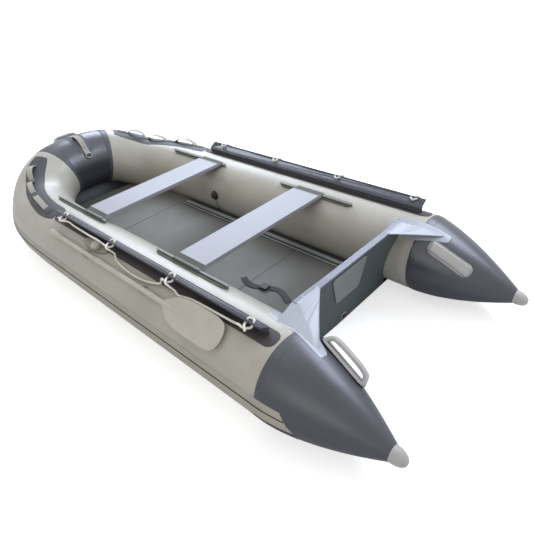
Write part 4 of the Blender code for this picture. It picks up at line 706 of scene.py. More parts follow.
# The turn through the rail's two holes, from the flange's outer top edge: forward, across, up from its face
ROPE_TURN = (
    (0.036, 0.008, -0.030), (0.008, 0.004, -0.033), (-0.012, -0.010, -0.024), (-0.0165, -0.0125, -0.010),
    (-0.0165, -0.0130, 0.001), (-0.0140, -0.0180, 0.0068), (0, -0.0270, 0.0062), (0.0140, -0.0180, 0.0068),
    (0.0165, -0.0130, 0.001), (0.0165, -0.0115, -0.010), (0.0120, 0.002, -0.0185), (-0.002, 0.0165, -0.026),
    (-0.014, 0.020, -0.036),
)
# The free runs between stations: share of the pitch, angle from the tube's top, lift
ROPE_RUNS = (
    ((0.127, 17.8, 0.0525), (0.257, 18.5, 0.0521), (0.391, 18.9, 0.0527), (0.508, 19.2, 0.0552),
     (0.606, 19.5, 0.0578), (0.706, 19.6, 0.0595), (0.796, 19.3, 0.0597), (0.876, 19.3, 0.0507)),
    ((0.076, 20.7, 0.0252), (0.136, 25.4, 0.0146), (0.245, 28.7, 0.0134), (0.385, 30.6, 0.0131),
     (0.525, 31.1, 0.0131), (0.665, 29.6, 0.0131), (0.785, 26.3, 0.0137), (0.874, 22.5, 0.0205)),
    ((0.084, 21.6, 0.0244), (0.148, 23.7, 0.0193), (0.224, 22.0, 0.0198), (0.324, 20.3, 0.0245),
     (0.464, 19.7, 0.0279), (0.603, 19.5, 0.0308), (0.743, 19.2, 0.0336), (0.853, 19.0, 0.0364)),
    (),
)


def rail_point(across, rise, side=PORT):
    """The (y, z) of a point on the rail: across from the flange's middle, rise from its top face."""
    reach = TUBE_RADIUS + RAIL_HEIGHT
    y = TUBE_HALF_SPACING + reach * math.sin(RAIL_ANGLE)
    z = TUBE_RADIUS + reach * math.cos(RAIL_ANGLE)
    y += across * math.cos(RAIL_TILT) - rise * math.sin(RAIL_TILT)
    z += across * math.sin(RAIL_TILT) + rise * math.cos(RAIL_TILT)
    return (y * side, z)


def rope_station(index):
    return aft(ROPE_FIRST_AFT + ROPE_PITCH * index)


def lifeline(prefix, side):
    name = prefix + "_lifeline"
    route = []
    for k in range(ROPE_STATIONS):
        x = rope_station(k)
        for ahead, across, rise in ROPE_TURN:
            route.append((x + ahead, *rail_point(RAIL_WIDTH / 2 + across, rise, side)))
        for share, angle, lift in ROPE_RUNS[k]:
            route.append(skin(np.array([x - SHOULDER_X - ROPE_PITCH * share]), angle, lift, side)[0])
    path = smooth_path(route, 0.004)
    obj = add(swept(name, path, circle(ROPE_RADIUS, 14), ROPE), name)


make_camera()
both_sides(lifeline)

# Air chambers
AROUND = np.arange(0, 360, 3.75)
SEAM_DIP = 0.0016
SEAM_DIP_WIDTH = 0.010
CAP_LIP = 0.0014
TAPE_STEP = 0.006
# Each tape's name, front and rear, thickness, rounding in its length, and material
SEAM_TAPES = (
    ("_bow_seam_tape", SEAM_DISTANCE + 0.036, SEAM_DISTANCE - 0.002, 0.0009, 0.003, TAPE),
    ("_bow_seam_edge", SEAM_DISTANCE + 0.043, SEAM_DISTANCE + 0.036, 0.0006, 0.001, PATCH),
    ("_cone_seam_tape", -STRAIGHT_LENGTH + 0.002, -STRAIGHT_LENGTH - 0.04, 0.0009, 0.003, SLATE),
    ("_stern_seam_tape", -1.702, -1.734, 0.0009, 0.003, PALE_TAPE),
)


def seam_dip(distance, at):
    return -SEAM_DIP * np.exp(-(((distance - at) / SEAM_DIP_WIDTH) ** 2))


def whole_tube(name, distances, lift, material, side, *nodes):
    rings = skin(distances[:, None], AROUND, lift[:, None], side)
    add(tube_mesh(name, rings, material), name, *nodes)


def side_tube(prefix, side):
    distances = legs(-STRAIGHT_LENGTH, (0, 90), (SEAM_DISTANCE, 90))
    lift = seam_dip(distances, -STRAIGHT_LENGTH) + seam_dip(distances, SEAM_DISTANCE)
    whole_tube(prefix + "_side_tube", distances, lift, HULL, side, prefix + "_bow_baffle")


def stern_cone(prefix, side):
    start, end = -STRAIGHT_LENGTH, -STRAIGHT_LENGTH - CONE_LENGTH
    distances = legs(start, (start - 0.06, 12), (end, 40))
    whole_tube(prefix + "_stern_cone", distances, seam_dip(distances, start), SLATE, side)
    distances = end - CAP_LENGTH * np.sin(np.linspace(0, math.pi / 2, 16))
    distances = np.concatenate([[end + 0.004, end + 0.004, end], distances])
    lift = np.concatenate([[-0.001, CAP_LIP, CAP_LIP], np.linspace(CAP_LIP, 0, 16)])
    whole_tube(prefix + "_cone_cap", distances, lift, CAP, side)


def bow_tube():
    reach = BOW_DISTANCE - SEAM_DISTANCE
    run = np.linspace(-reach, reach, 81)
    rings = skin_run(run[:, None], AROUND, seam_dip(np.abs(run), reach)[:, None])
    add(tube_mesh("bow_tube", rings, SLATE), "bow_tube")


def seam_tapes(prefix, side):
    for name, front, rear, thickness, edge, material in SEAM_TAPES:
        distances = spaced(front, rear, TAPE_STEP, edge)
        add(skin_patch(prefix + name, distances, -180.0, 180.0, thickness, material, side, count=96))


# Rub strake: flanges either side of a ridge, with dark grooves between, as shares of its width and heights
STRAKE_ANGLES = (75.5, 103.1)
STRAKE_PROFILE = (
    (0.0, 0.0), (0.02, 0.0022), (0.06, 0.0030), (0.30, 0.0034), (0.338, 0.0030), (0.348, 0.0008),
    (0.385, 0.0008), (0.395, 0.0050), (0.42, 0.0068), (0.50, 0.0070), (0.57, 0.0066), (0.595, 0.0050),
    (0.605, 0.0008), (0.625, 0.0008), (0.635, 0.0030), (0.69, 0.0036), (0.92, 0.0034), (0.97, 0.0022),
    (1.0, 0.0),
)
STRAKE_GROOVES = ((0.34, 0.391), (0.599, 0.631))
STRAKE_TAIL = 0.16
STRAKE_TAPER = 0.07
STRAKE_TAPER_SHARES = (0, 0.006, 0.02, 0.045, 0.3, 0.6)
STRAKE_SLANT = 0.05


def rub_strake():
    tail = BOW_DISTANCE + STRAIGHT_LENGTH + STRAKE_TAIL
    forward = legs(tail - STRAKE_TAPER, (BOW_DISTANCE, 60), (0, 150))
    half = np.concatenate([tail - STRAKE_TAPER * np.array(STRAKE_TAPER_SHARES), forward])
    run = np.concatenate([-half, half[-2::-1]])
    slant = np.clip((np.abs(run) - tail + 2 * STRAKE_TAPER) / (2 * STRAKE_TAPER), 0, 1)
    fade = eased(tail - np.abs(run), 0.003)
    share, height = np.array(STRAKE_PROFILE).T
    low, high = STRAKE_ANGLES
    degrees = low + (high - low) * share
    slanted = run[:, None] - (np.sign(run) * STRAKE_SLANT * slant)[:, None] * (1 - share)
    top = skin_run(slanted, degrees, SKIN_GAP + height * (0.1 + 0.9 * fade)[:, None])
    obj = sheet_mesh("rub_strake", top, skin_run(slanted, degrees, -SINK), STRAKE)
    columns = 2 * len(share)
    middles = (share[1:] + share[:-1]) / 2
    dark = {k for k, m in enumerate(middles) for first, last in STRAKE_GROOVES if first <= m <= last}
    skinned = columns * (len(run) - 1)
    shade_faces(obj, STRAKE_LINE, lambda face: face.index < skinned and face.index % columns in dark)
    add(obj, "rub_strake")


both_sides(side_tube, stern_cone)
bow_tube()
both_sides(seam_tapes)
rub_strake()

# Bottom and floor
BOTTOM_THICKNESS = 0.003
BOTTOM_EDGE_ANGLE = -158
BOTTOM_FRONT_GAP = 0.02
BOTTOM_KEEL_ROUNDING = 0.0009
KEEL_HEIGHT = 0.0035
KEEL_NOSE = 0.22
KEEL_NOSE_RADIUS = 0.015
KEEL_END_SHARE = 0.55
FLOOR_JOINTS_AFT = (-0.0709, 0.4971, 1.0641)
FLOOR_JOINT_HALF = 0.0022
STRINGER_INNER = 0.285
STRINGER_LIP = 0.005


def hull_bottom():
    """A shallow V from tube to tube."""
    start = aft(TRANSOM_AFT) + (TRANSOM_TOP - KEEL_HEIGHT) * math.tan(TRANSOM_RAKE) - SHOULDER_X
    distances = legs(start, (0, 30), (BOW_DISTANCE - BOTTOM_FRONT_GAP, 90))
    edge = skin(distances, BOTTOM_EDGE_ANGLE, -SINK)
    reach = skin(np.zeros(1), BOTTOM_EDGE_ANGLE, -SINK)[0, 1]
    slope = (edge[0, 2] - KEEL_HEIGHT - BOTTOM_THICKNESS) / reach
    share = np.linspace(-1, 1, 33)
    rise = 1 - np.minimum(np.sqrt(share**2 + BOTTOM_KEEL_ROUNDING), 1)
    x, y, z = (np.repeat(edge[:, k : k + 1], len(share), 1) for k in range(3))
    top = np.stack([x, y * share, z - slope * y * rise], -1)
    add(sheet_mesh("hull_bottom", top, top - (0, 0, BOTTOM_THICKNESS), BOTTOM), "hull_bottom")


def keel_tube():
    """The air keel under the floor, with a rounded rear end and a long soft nose."""
    low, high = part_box("keel_tube")
    radius = high[1]
    nose_start = high[0] - KEEL_NOSE
    x = np.concatenate([spaced(nose_start, low[0], 0.05, 0.02), np.linspace(nose_start, high[0], 24)[1:]])
    nose = np.clip((x - high[0]) / KEEL_NOSE + 1, 0, 1)
    size = radius + (KEEL_NOSE_RADIUS - radius) * nose
    ends = eased(np.minimum(x - low[0], high[0] - x), 0.02)
    size = (size * (KEEL_END_SHARE + (1 - KEEL_END_SHARE) * ends) + 1e-5)[:, None]
    turn = np.linspace(0, 2 * math.pi, 40, endpoint=False)
    rings = np.stack([x[:, None] + 0 * turn, size * np.sin(turn), high[2] - size * (1 - np.cos(turn))], -1)
    add(tube_mesh("keel_tube", rings, BOTTOM, 60.0), "keel_tube")


def floor_stringer(prefix, side):
    obj = dress(prefix + "_floor_stringer", STRINGER, 0.0009)
    # Faces below the lip take the dark metal: painted shade in the channel beside the floor
    shade_faces(obj, SHADED_CHANNEL, lambda face: face.center.z < FLOOR_TOP + STRINGER_LIP)


def floor_gaps():
    """A thin dark gap at each joint between the planks."""
    section = rounded_box(2 * (STRINGER_INNER - 0.002), 0.0009, 0.0003, low=FLOOR_TOP)
    for k, joint in enumerate(FLOOR_JOINTS_AFT, 1):
        ends = aft(joint) - FLOOR_JOINT_HALF, aft(joint) + FLOOR_JOINT_HALF
        add(prism_x(f"floor_gap_{k}", section, *ends, DARK, 0.0003))


hull_bottom()
keel_tube()
for name in ("bow", "front", "middle", "rear"):
    dress(name + "_floor_panel", FLOOR, 0.0008)
both_sides(floor_stringer)
floor_gaps()

# Transom
SCREW_DOME = ((0.0, 0.0022), (0.003, 0.0019), (0.0046, 0.0008), (0.005, 0.0))
SCREW_PLACES = (-0.36, -0.19, 0.19, 0.277, 0.36)
SCREW_LIFT = 0.0033


def transom_screws():
    """Screws along the top of the cap."""
    top = Matrix.Translation((aft(TRANSOM_AFT), 0, TRANSOM_TOP)) @ Matrix.Rotation(-TRANSOM_RAKE, 4, "Y")
    for k, y in enumerate(SCREW_PLACES, 1):
        matrix = top @ Matrix.Translation((TRANSOM_THICKNESS / 2, y, SCREW_LIFT))
        add(turned(f"transom_screw_{k}", SCREW_DOME, matrix, STEEL, 20))


dress("transom_board", BOARD, 0.0015)
dress("transom_cap", TRIM)
dress("motor_plate", PLATE, 0.0022)
dress("drain_body", CAP, 0.0008)
dress("drain_plug", DARK)
transom_screws()

# Gussets
GUSSET_FRONT = 0.105
GUSSET_TAIL = 0.213
# Distances, and the angles of the flap's upper and lower edges there
GUSSET_SHAPE = np.array(
    (
        (-TRANSOM_AFT - GUSSET_TAIL, -24, -9),
        (-STRAIGHT_LENGTH, -44, -13),
        (-TRANSOM_AFT, -44, -13),
        (-TRANSOM_AFT + GUSSET_FRONT, -45, -19),
    )
).T
GUSSET_THICKNESS = 0.0025
GUSSET_FLAP_THICKNESS = GUSSET_THICKNESS * 0.7
GUSSET_CORNER = 0.045
GUSSET_TAIL_CORNER = 0.012
GUSSET_STITCH_INSETS = (3.0, 4.6)
WEB_ANGLE = -15
WEB_THICKNESS = GUSSET_THICKNESS * 0.6
WEB_CAP_END = 0.27
WEB_CREST = 0.020
WEB_CREST_SHARE = 0.56
WEB_FRONT_ROUNDING = 0.010
# Height, turns round the fan, drift across it and start of each set of folds
WEB_FOLDS = ((0.5, 13, 0, 0.8), (0.35, 22, 4, 0), (0.3, 8, -3, 0))
WEB_FOLD_HEIGHT = 0.0030
WEB_HEM_RADIUS = 0.0026


def gusset(prefix, side):
    name = prefix + "_gusset"
    stops, *edges = GUSSET_SHAPE
    rear, front = stops[0], stops[-1]
    distances = spaced(front, rear, 0.006)
    low, high = (np.interp(distances, stops, edge) for edge in edges)
    corner = np.degrees(GUSSET_CORNER * (1 - eased(front - distances, GUSSET_CORNER)) / TUBE_RADIUS)
    tail = np.degrees(GUSSET_TAIL_CORNER * (1 - eased(distances - rear, 0.02)) / TUBE_RADIUS)
    low, high = low + corner * 0.9 + tail, high - corner - tail
    flap = skin_patch(name, distances, low, high, GUSSET_FLAP_THICKNESS, GUSSET, side, count=20)
    web(prefix, side, add(flap, name))
    seam = np.linspace(rear + 0.02, front - 0.03, 120)
    for k, inset in enumerate(GUSSET_STITCH_INSETS, 1):
        degrees = np.interp(seam, stops, edges[1]) - inset
        stitches(f"{prefix}_gusset_stitch_{k}", seam, degrees, GUSSET_FLAP_THICKNESS + 0.0004, side, THREAD)


def web(prefix, side, flap):
    """The free sheet from over the cap's end to the flap, drawn into folds that fan from the board."""
    over = TRANSOM_TOP + TRANSOM_CAP_WALL + WEB_THICKNESS + 0.0006
    behind = aft(TRANSOM_AFT) - TRANSOM_CAP_WALL - 0.0012
    before = aft(TRANSOM_AFT) + TRANSOM_THICKNESS + TRANSOM_CAP_WALL + 0.003
    start = np.array([behind, WEB_CAP_END * side, over])
    tail = -TRANSOM_AFT - GUSSET_TAIL + TRANSOM_THICKNESS
    end = skin(np.array([tail]), WEB_ANGLE, SKIN_GAP + GUSSET_THICKNESS, side)[0]
    s = np.linspace(0, 0.97, 70)
    t = np.linspace(0, 1, 60)
    inner = start + (end - start) * s[:, None]
    inner[:, 1] += side * 0.006 * np.sin(math.pi * s) * (1 - 0.4 * s)
    ahead = np.concatenate([np.full(4, before), np.linspace(before, behind, 10)[1:-1]])
    drop = np.concatenate([[0.016, 0.011, 0.005, 0.0008], np.zeros(8)])
    folded = np.column_stack([ahead, np.full(len(ahead), start[1]), over - drop])
    folded[:, 1] += side * WEB_FRONT_ROUNDING * (1 - eased(np.arange(len(ahead)) / 5, 1))
    inner = np.vstack([folded, inner])
    outer = skin(inner[:, 0] - SHOULDER_X, WEB_ANGLE, SKIN_GAP + GUSSET_THICKNESS * 0.4, side)
    s = np.concatenate([np.zeros(len(ahead)), s])[:, None]
    grid = inner[:, None] + (outer - inner)[:, None] * t[None, :, None]
    wide = np.linalg.norm(outer - inner, axis=1)[:, None]
    tent = np.minimum(t / WEB_CREST_SHARE, (1 - t) / (1 - WEB_CREST_SHARE))
    reach = t * wide / wide.max()
    fan = np.arctan2(s * 1.4, reach + 0.25)
    folds = sum(size * np.sin(fan * turns + drift * reach + first) for size, turns, drift, first in WEB_FOLDS)
    fade = np.sin(math.pi * np.clip(t, 0.02, 1)) ** 0.6 * np.clip(s * 7, 0, 1) * (1 - 0.5 * s)
    bulge = 0.006 * np.sin(math.pi * t) * s * (1 - s)
    grid[..., 2] += WEB_CREST * tent * (1 - s) ** 2 + bulge + WEB_FOLD_HEIGHT * folds * fade
    obj = sheet_mesh(prefix + "_gusset_web", grid, grid - (0, 0, WEB_THICKNESS), GUSSET, 60.0)
    add(obj)
    hem = smooth_path(inner[len(ahead) :: 6] - (0, 0, WEB_THICKNESS / 2), 0.004)
    add(swept(prefix + "_gusset_hem", hem, circle(WEB_HEM_RADIUS, 10), GUSSET))


both_sides(gusset)

# Benches and tracks
TRACK_DEGREES = -23.5
TRACK_ANGLE = math.radians(TRACK_DEGREES)
TRACK_HALF_DEGREES = 5.2
TRACK_POINT = 0.03
TRACK_BASE_THICKNESS = 0.0075
SEAT_HALF_LENGTH = 0.435
TRACKS_AFT = {"front": (-0.2859, 0.2841), "rear": (0.7951, 1.3331)}
# Across and height of the track's T, from the skin
TRACK_SECTION = (
    (-0.003, 0.004), (-0.003, 0.014), (-0.008, 0.0142), (-0.008, 0.0188),
    (0.008, 0.0188), (0.008, 0.0142), (0.003, 0.014), (0.003, 0.004),
)


def track_place(across, height, side):
    reach = TUBE_RADIUS + height
    y = TUBE_HALF_SPACING + reach * math.sin(TRACK_ANGLE) + across * math.cos(TRACK_ANGLE)
    return (y * side, TUBE_RADIUS + reach * math.cos(TRACK_ANGLE) - across * math.sin(TRACK_ANGLE))


def seat_tracks(prefix, side):
    for end_name, ends in TRACKS_AFT.items():
        front, rear = (-end for end in ends)
        name = f"{prefix}_{end_name}_seat_track"
        distances = spaced(front, rear, 0.012, 0.004)
        point = np.clip((front - distances) / TRACK_POINT, 0.3, 1)
        half = TRACK_HALF_DEGREES * (point * np.clip((distances - rear) / TRACK_POINT, 0.3, 1))
        low, high = TRACK_DEGREES - half, TRACK_DEGREES + half
        base = skin_patch(name, distances, low, high, TRACK_BASE_THICKNESS, RUBBER, side, edge=0.004)
        add(base, name)
        places = [track_place(u, h, side) for u, h in rounded(TRACK_SECTION, 0.0008, 2, closed=True)]
        add(prism_x(name + "_rail", places, SHOULDER_X + rear, SHOULDER_X + front, TRACK_HEAD, 0.001))


for name in ("front_seat", "rear_seat"):
    shade_faces(dress(name, BENCH, 0.0018), SHOE, lambda face: abs(face.center.y) > SEAT_HALF_LENGTH + 0.001)
both_sides(seat_tracks)

# Lifeline rails


def rail_outline(side):
    """The rail's section: a flange with a fine groove near each edge, on a web that stands on the patch."""
    half, web_half, inset = RAIL_WIDTH / 2, RAIL_WEB / 2, RAIL_WEB_INSET
    flange = [(-half, 0.0)]
    for middle in RAIL_GROOVE_OFFSETS:
        flange += [(middle - 0.0016, 0.0), (middle - 0.0006, -RAIL_GROOVE)]
        flange += [(middle + 0.0006, -RAIL_GROOVE), (middle + 0.0016, 0.0)]
    flange += [(half, 0.0), (half, -RAIL_THICKNESS), (web_half - inset, -RAIL_THICKNESS)]
    places = [rail_point(across, rise, side) for across, rise in rounded(flange, 0.0009, 2, closed=True)]
    top_y, top_z = rail_point(-inset, -RAIL_THICKNESS)
    lean = math.atan2(top_y - TUBE_HALF_SPACING, top_z - TUBE_RADIUS)
    reach = TUBE_RADIUS + PATCH_THICKNESS * 0.5
    foot_y, foot_z = TUBE_HALF_SPACING + reach * math.sin(lean), TUBE_RADIUS + reach * math.cos(lean)
    places += [((foot_y + out * web_half * math.cos(lean)) * side, foot_z) for out in (1, -1)]
    return places + [rail_point(across, -RAIL_THICKNESS, side) for across in (-inset - web_half, -half)]


def lifeline_rail(prefix, side):
    name = prefix + "_lifeline_rail"
    front, rear = (-end for end in RAIL_PATCH_ENDS_AFT)
    corners = front - np.linspace(0, RAIL_PATCH_CORNER, 12), rear + np.linspace(0, 0.05, 12)
    distances = np.unique(np.concatenate([spaced(front, rear, 0.02), *corners]))
    span = rounded_span(distances, front, rear, *RAIL_PATCH_ANGLES, RAIL_PATCH_CORNER)
    add(skin_patch(name + "_patch", distances, *span, PATCH_THICKNESS, RAIL_FOOT, side, edge=0.0022))
    rail = prism_x(name, rail_outline(side), aft(RAIL_REAR_AFT), aft(RAIL_FRONT_AFT), RAIL, 0.002)
    rail.data.materials.append(DARK)
    y, z = rail_point(RAIL_WIDTH / 2 - RAIL_HOLE_INSET, -RAIL_THICKNESS / 2, side)
    up = (0, -math.sin(RAIL_TILT) * side, math.cos(RAIL_TILT))
    reach = RAIL_THICKNESS / 2 + RAIL_HOLE_RADIUS
    for k in range(ROPE_STATIONS):
        for ahead in (ROPE_HOLE_REACH, -ROPE_HOLE_REACH):
            matrix = frame_matrix((rope_station(k) + ahead, y, z), (1, 0, 0), up)
            profile = [(RAIL_HOLE_RADIUS, -reach), (RAIL_HOLE_RADIUS, reach)]
            cut(rail, turned("hole", profile, matrix, DARK, 24))
    add(rail, name)


both_sides(lifeline_rail)

# Shoulder patches with hand loops: share of the length, and the angles of both edges there
GRAB_PATCH_EDGES = (
    (0.00, -4, 22), (0.05, -7, 27), (0.15, -7, 29), (0.32, -10, 25), (0.50, -14, 20),
    (0.74, -20, 15), (0.90, -24, 15), (0.97, -23, 13), (1.00, -18, 8),
)
GRAB_PATCH_STATIONS = (1, 20)
GRAB_WEBBING_STATIONS = (3, 19)
GRAB_LOOP_STATIONS = ((4, 8), (10, 14), (15, 18))
GRAB_LOOP_HEIGHT = 0.034
GRAB_WEBBING_WIDTH = 0.036
GRAB_WEBBING_HALF = math.degrees(GRAB_WEBBING_WIDTH / 2 / TUBE_RADIUS)
GRAB_WEBBING_THICKNESS = 0.0035
GRAB_WEBBING_ANGLES = (14, 0)
GRAB_COVER_THICKNESS = 0.0068


def webbing_centre(distance):
    first, last = (STATION_STEP * station for station in GRAB_WEBBING_STATIONS)
    share = (distance - first) / (last - first)
    return GRAB_WEBBING_ANGLES[0] + (GRAB_WEBBING_ANGLES[1] - GRAB_WEBBING_ANGLES[0]) * share


def grab_patch(prefix, side):
    name = prefix + "_grab_patch"
    first, last = (STATION_STEP * station for station in GRAB_PATCH_STATIONS)
    distances = spaced(last, first, 0.008)
    shares = (distances - first) / (last - first)
    low, high = (smooth_table(shares, GRAB_PATCH_EDGES, column) for column in (1, 2))
    patch = skin_patch(name, distances, low, high, PATCH_THICKNESS * 0.8, PATCH, side, edge=0.0025, count=30)
    add(patch, name)
    for k, stations in enumerate(GRAB_LOOP_STATIONS, 1):
        start, end = (STATION_STEP * station for station in stations)
        distances = np.linspace(start - 0.012, end + 0.012, 70)
        rise = np.sin(math.pi * np.clip((distances - start) / (end - start), 0, 1)) ** 0.55
        lift = SKIN_GAP + PATCH_THICKNESS + GRAB_LOOP_HEIGHT * rise
        half = GRAB_WEBBING_HALF * (TUBE_RADIUS / (TUBE_RADIUS + lift))
        low, high = (webbing_centre(distances) + sign * half for sign in (-1, 1))
        loop = f"{name}_loop_{k}"
        add(
            skin_patch(
                loop, distances, low, high, GRAB_WEBBING_THICKNESS, WEBBING, side, edge=0.0012, lift=lift
            )
        )
    webbing_covers(prefix, side)


def webbing_covers(prefix, side):
    """Dark pads sewn down over the webbing between its loops."""
    first, last = GRAB_WEBBING_STATIONS
    stations = [first - 0.4] + [station for loop in GRAB_LOOP_STATIONS for station in loop] + [last + 0.4]
    edges = [STATION_STEP * station for station in stations]
    for k, (start, end) in enumerate(zip(edges[::2], edges[1::2]), 1):
        start, end = start - 0.002, end + 0.002
        distances = spaced(end, start, 0.006)
        low, high = (webbing_centre(distances) + sign * GRAB_WEBBING_HALF * 1.3 for sign in (-1, 1))
        name = f"{prefix}_loop_cover_{k}"
        add(
            skin_patch(
                name, distances, low, high, GRAB_COVER_THICKNESS, PATCH, side, edge=0.004, lift=0.0
            )
        )
        rim = np.linspace(start + 0.005, end - 0.005, 24)
        for j, sign in enumerate((-1, 1), 1):
            degrees = webbing_centre(rim) + sign * GRAB_WEBBING_HALF
            lift = GRAB_COVER_THICKNESS + 0.0002
            stitches(f"{prefix}_cover_stitch_{k}_{j}", rim, degrees, lift, side, PATCH)


both_sides(grab_patch)

# Bow fittings
BOW_STRAP_WIDTH = 0.04
BOW_STRAP_THICKNESS = 0.0028
BOW_STRAP_ANGLES = (6, -58)
BOW_STRAP_ARCH_ANGLES = (-6, -46)
BOW_STRAP_ARCH = 0.022
BOW_EYE_RADIUS = 0.0058
BOW_EYE_HALF = 0.02
BOW_EYE_ANGLE = BOW_STRAP_ANGLES[1] - 1.0
BOW_PAD_HALF = 0.055
BOW_PAD_ANGLES = (12, -54)
RING_HALF = 0.024
RING_LENGTH = 0.034
RING_WIRE = 0.0025
RING_PATCH_PROFILE = ((0.0, 0.0016), (0.034, 0.0016), (0.036, -0.006))


def bow_eye():
    return skin_run(np.zeros(1), BOW_EYE_ANGLE, BOW_EYE_RADIUS + SKIN_GAP)[0]


def bow_strap():
    degrees = np.linspace(*BOW_STRAP_ANGLES, 90)[:, None]
    first, last = BOW_STRAP_ARCH_ANGLES
    arch = np.sin(math.pi * np.clip((degrees - first) / (last - first), 0, 1)) ** 0.7
    bottom = np.repeat(skin_run(0.0, degrees, SKIN_GAP + 0.0022 + BOW_STRAP_ARCH * arch), 25, axis=1)
    bottom[..., 1] = run = np.linspace(-BOW_STRAP_WIDTH / 2, BOW_STRAP_WIDTH / 2, 25)
    outward = skin_run(0.0, degrees, 1.0) - skin_run(0.0, degrees, 0.0)
    ribs = 0.0004 * np.cos(run / 0.008 * 2 * math.pi)
    top = bottom + outward * (BOW_STRAP_THICKNESS + ribs[:, None])
    top[..., 1] = run
    add(sheet_mesh("bow_carry_strap", top, bottom, WEBBING), "bow_carry_strap")
    run = np.linspace(-BOW_PAD_HALF, BOW_PAD_HALF, 21)
    top, bottom = (skin_run(run, np.linspace(*BOW_PAD_ANGLES, 60)[:, None], lift) for lift in (0.0018, -SINK))
    add(sheet_mesh("bow_chafe_pad", top, bottom, HATCHED))
    line = bow_eye() + np.linspace(-BOW_EYE_HALF, BOW_EYE_HALF, 12)[:, None] * (0, 1, 0)
    add(swept("bow_ring_sleeve", line, circle(BOW_EYE_RADIUS, 20), WEBBING, sharp=50.0))
    matrix = skin_frame(BOW_DISTANCE, BOW_STRAP_ANGLES[1] - 2.5)
    add(turned("bow_ring_patch", rounded(RING_PATCH_PROFILE, 0.001), matrix, PATCH))


def d_ring():
    angle = math.radians(BOW_EYE_ANGLE)
    down = np.array([-math.cos(angle), 0, math.sin(angle)])
    points = [np.array([0, y, 0]) for y in np.linspace(-RING_HALF, RING_HALF, 9)[:-1]]
    for turn in np.linspace(0, math.pi, 28):
        reach = RING_LENGTH * (0.3 + 0.7 * math.sin(turn))
        points.append(np.array([0, RING_HALF * math.cos(turn), 0]) + down * reach)
    ring = closed_wire("bow_d_ring", np.array(points) + bow_eye(), RING_WIRE, STEEL)
    add(ring, "bow_d_ring", body="ring")


def closed_wire(name, points, radius, material):
    curve = bpy.data.curves.new(name, "CURVE")
    curve.dimensions = "3D"
    curve.bevel_depth = radius
    curve.bevel_resolution = 4
    spline = curve.splines.new("POLY")
    spline.points.add(len(points) - 1)
    for point, place in zip(spline.points, points):
        point.co = (*place, 1)
    spline.use_cyclic_u = True
    curve.materials.append(material)
    guide = bpy.data.objects.new(name + "_guide", curve)
    bpy.context.scene.collection.objects.link(guide)
    mesh = bpy.data.meshes.new_from_object(guide.evaluated_get(bpy.context.evaluated_depsgraph_get()))
    bpy.data.objects.remove(guide)
    bpy.data.curves.remove(curve)
    mesh.shade_smooth()
    obj = bpy.data.objects.new(name, mesh)
    bpy.context.scene.collection.objects.link(obj)
    return obj


# Carry handles
HANDLE_LENGTH = 0.205
HANDLE_WIDTH = 0.06
HANDLE_HEIGHT = 0.042
HANDLE_LIFT = 0.004
HANDLE_GRIP_HALF = HANDLE_LENGTH / 2 - 0.016
# Share of the foot's width, and height, from its underside up over its raised rim
HANDLE_FOOT = (
    (1.0, -0.002), (1.0, 0.004), (0.975, 0.0062), (0.93, 0.0066), (0.90, 0.0050), (0.70, 0.0050), (0.3, 0.005)
)
# Along and height of the grip, from one end to its middle
HANDLE_GRIP_ROUTE = (
    (-HANDLE_GRIP_HALF - 0.004, 0.003), (-HANDLE_GRIP_HALF, 0.014), (-HANDLE_GRIP_HALF + 0.008, 0.027),
    (-HANDLE_GRIP_HALF + 0.024, HANDLE_HEIGHT - 0.010), (-HANDLE_GRIP_HALF + 0.05, HANDLE_HEIGHT - 0.0075),
)
BOW_HANDLE_FRAME = ((1.63819, 0, 0.4972), (0, -1, 0), (0.6691, 0, 0.7431))
STERN_HANDLE_GROWTH = 1.2
STERN_HANDLE_PLACES = ((0.085, -41), (0.27, -51))


def carry_handle(name, matrix, growth=1.0):
    """A pill-shaped foot with a raised rim, and a wide grip that arches from end to end."""
    size = np.array([HANDLE_LENGTH, HANDLE_WIDTH])
    outline = np.array(rounded_box(*size, HANDLE_WIDTH / 2, 10))
    rings = []
    for share, z in HANDLE_FOOT:
        inset = (1 - share) * HANDLE_WIDTH / 2
        rings.append(np.insert(outline * (1 - 2 * inset / size), 2, z, axis=1))
    foot = tube_mesh(name, rings, HANDLE, 45.0)
    route = [*HANDLE_GRIP_ROUTE, (0.0, HANDLE_HEIGHT - 0.007)] + [(-x, z) for x, z in HANDLE_GRIP_ROUTE[::-1]]
    path = smooth_path([(x, 0.0, z) for x, z in route], 0.004)
    scale = 1 + 0.12 * np.clip(np.abs(path[:, 0]) / HANDLE_GRIP_HALF - 0.7, 0, 1)
    section = rounded_box(HANDLE_WIDTH * 0.72, 0.0155, 0.0065)
    grip = swept(name + "_grip", path, section, HANDLE, normals=(0, 0.001, 1), scale=scale)
    for obj in (foot, grip):
        obj.data.transform(matrix @ Matrix.Scale(growth, 4))
    add(join(name, [foot, grip]), name)


def stern_handle(prefix, side):
    ends, normal = [], 0
    for reach, angle in STERN_HANDLE_PLACES:
        spot = np.array([-STRAIGHT_LENGTH - reach])
        point, middle = skin(spot, angle, 0, side)[0], centre_line(spot)[0][0]
        ends.append(point)
        normal = normal + (point - (point[0], middle[1] * side, middle[2]))
    matrix = frame_matrix((ends[0] + ends[1]) / 2, ends[0] - ends[1], normal)
    lifted = matrix @ Matrix.Translation((0, 0, HANDLE_LIFT))
    carry_handle(prefix + "_stern_handle", lifted, STERN_HANDLE_GROWTH)


both_sides(stern_handle)
carry_handle("bow_handle", frame_matrix(*BOW_HANDLE_FRAME))
bow_strap()
d_ring()

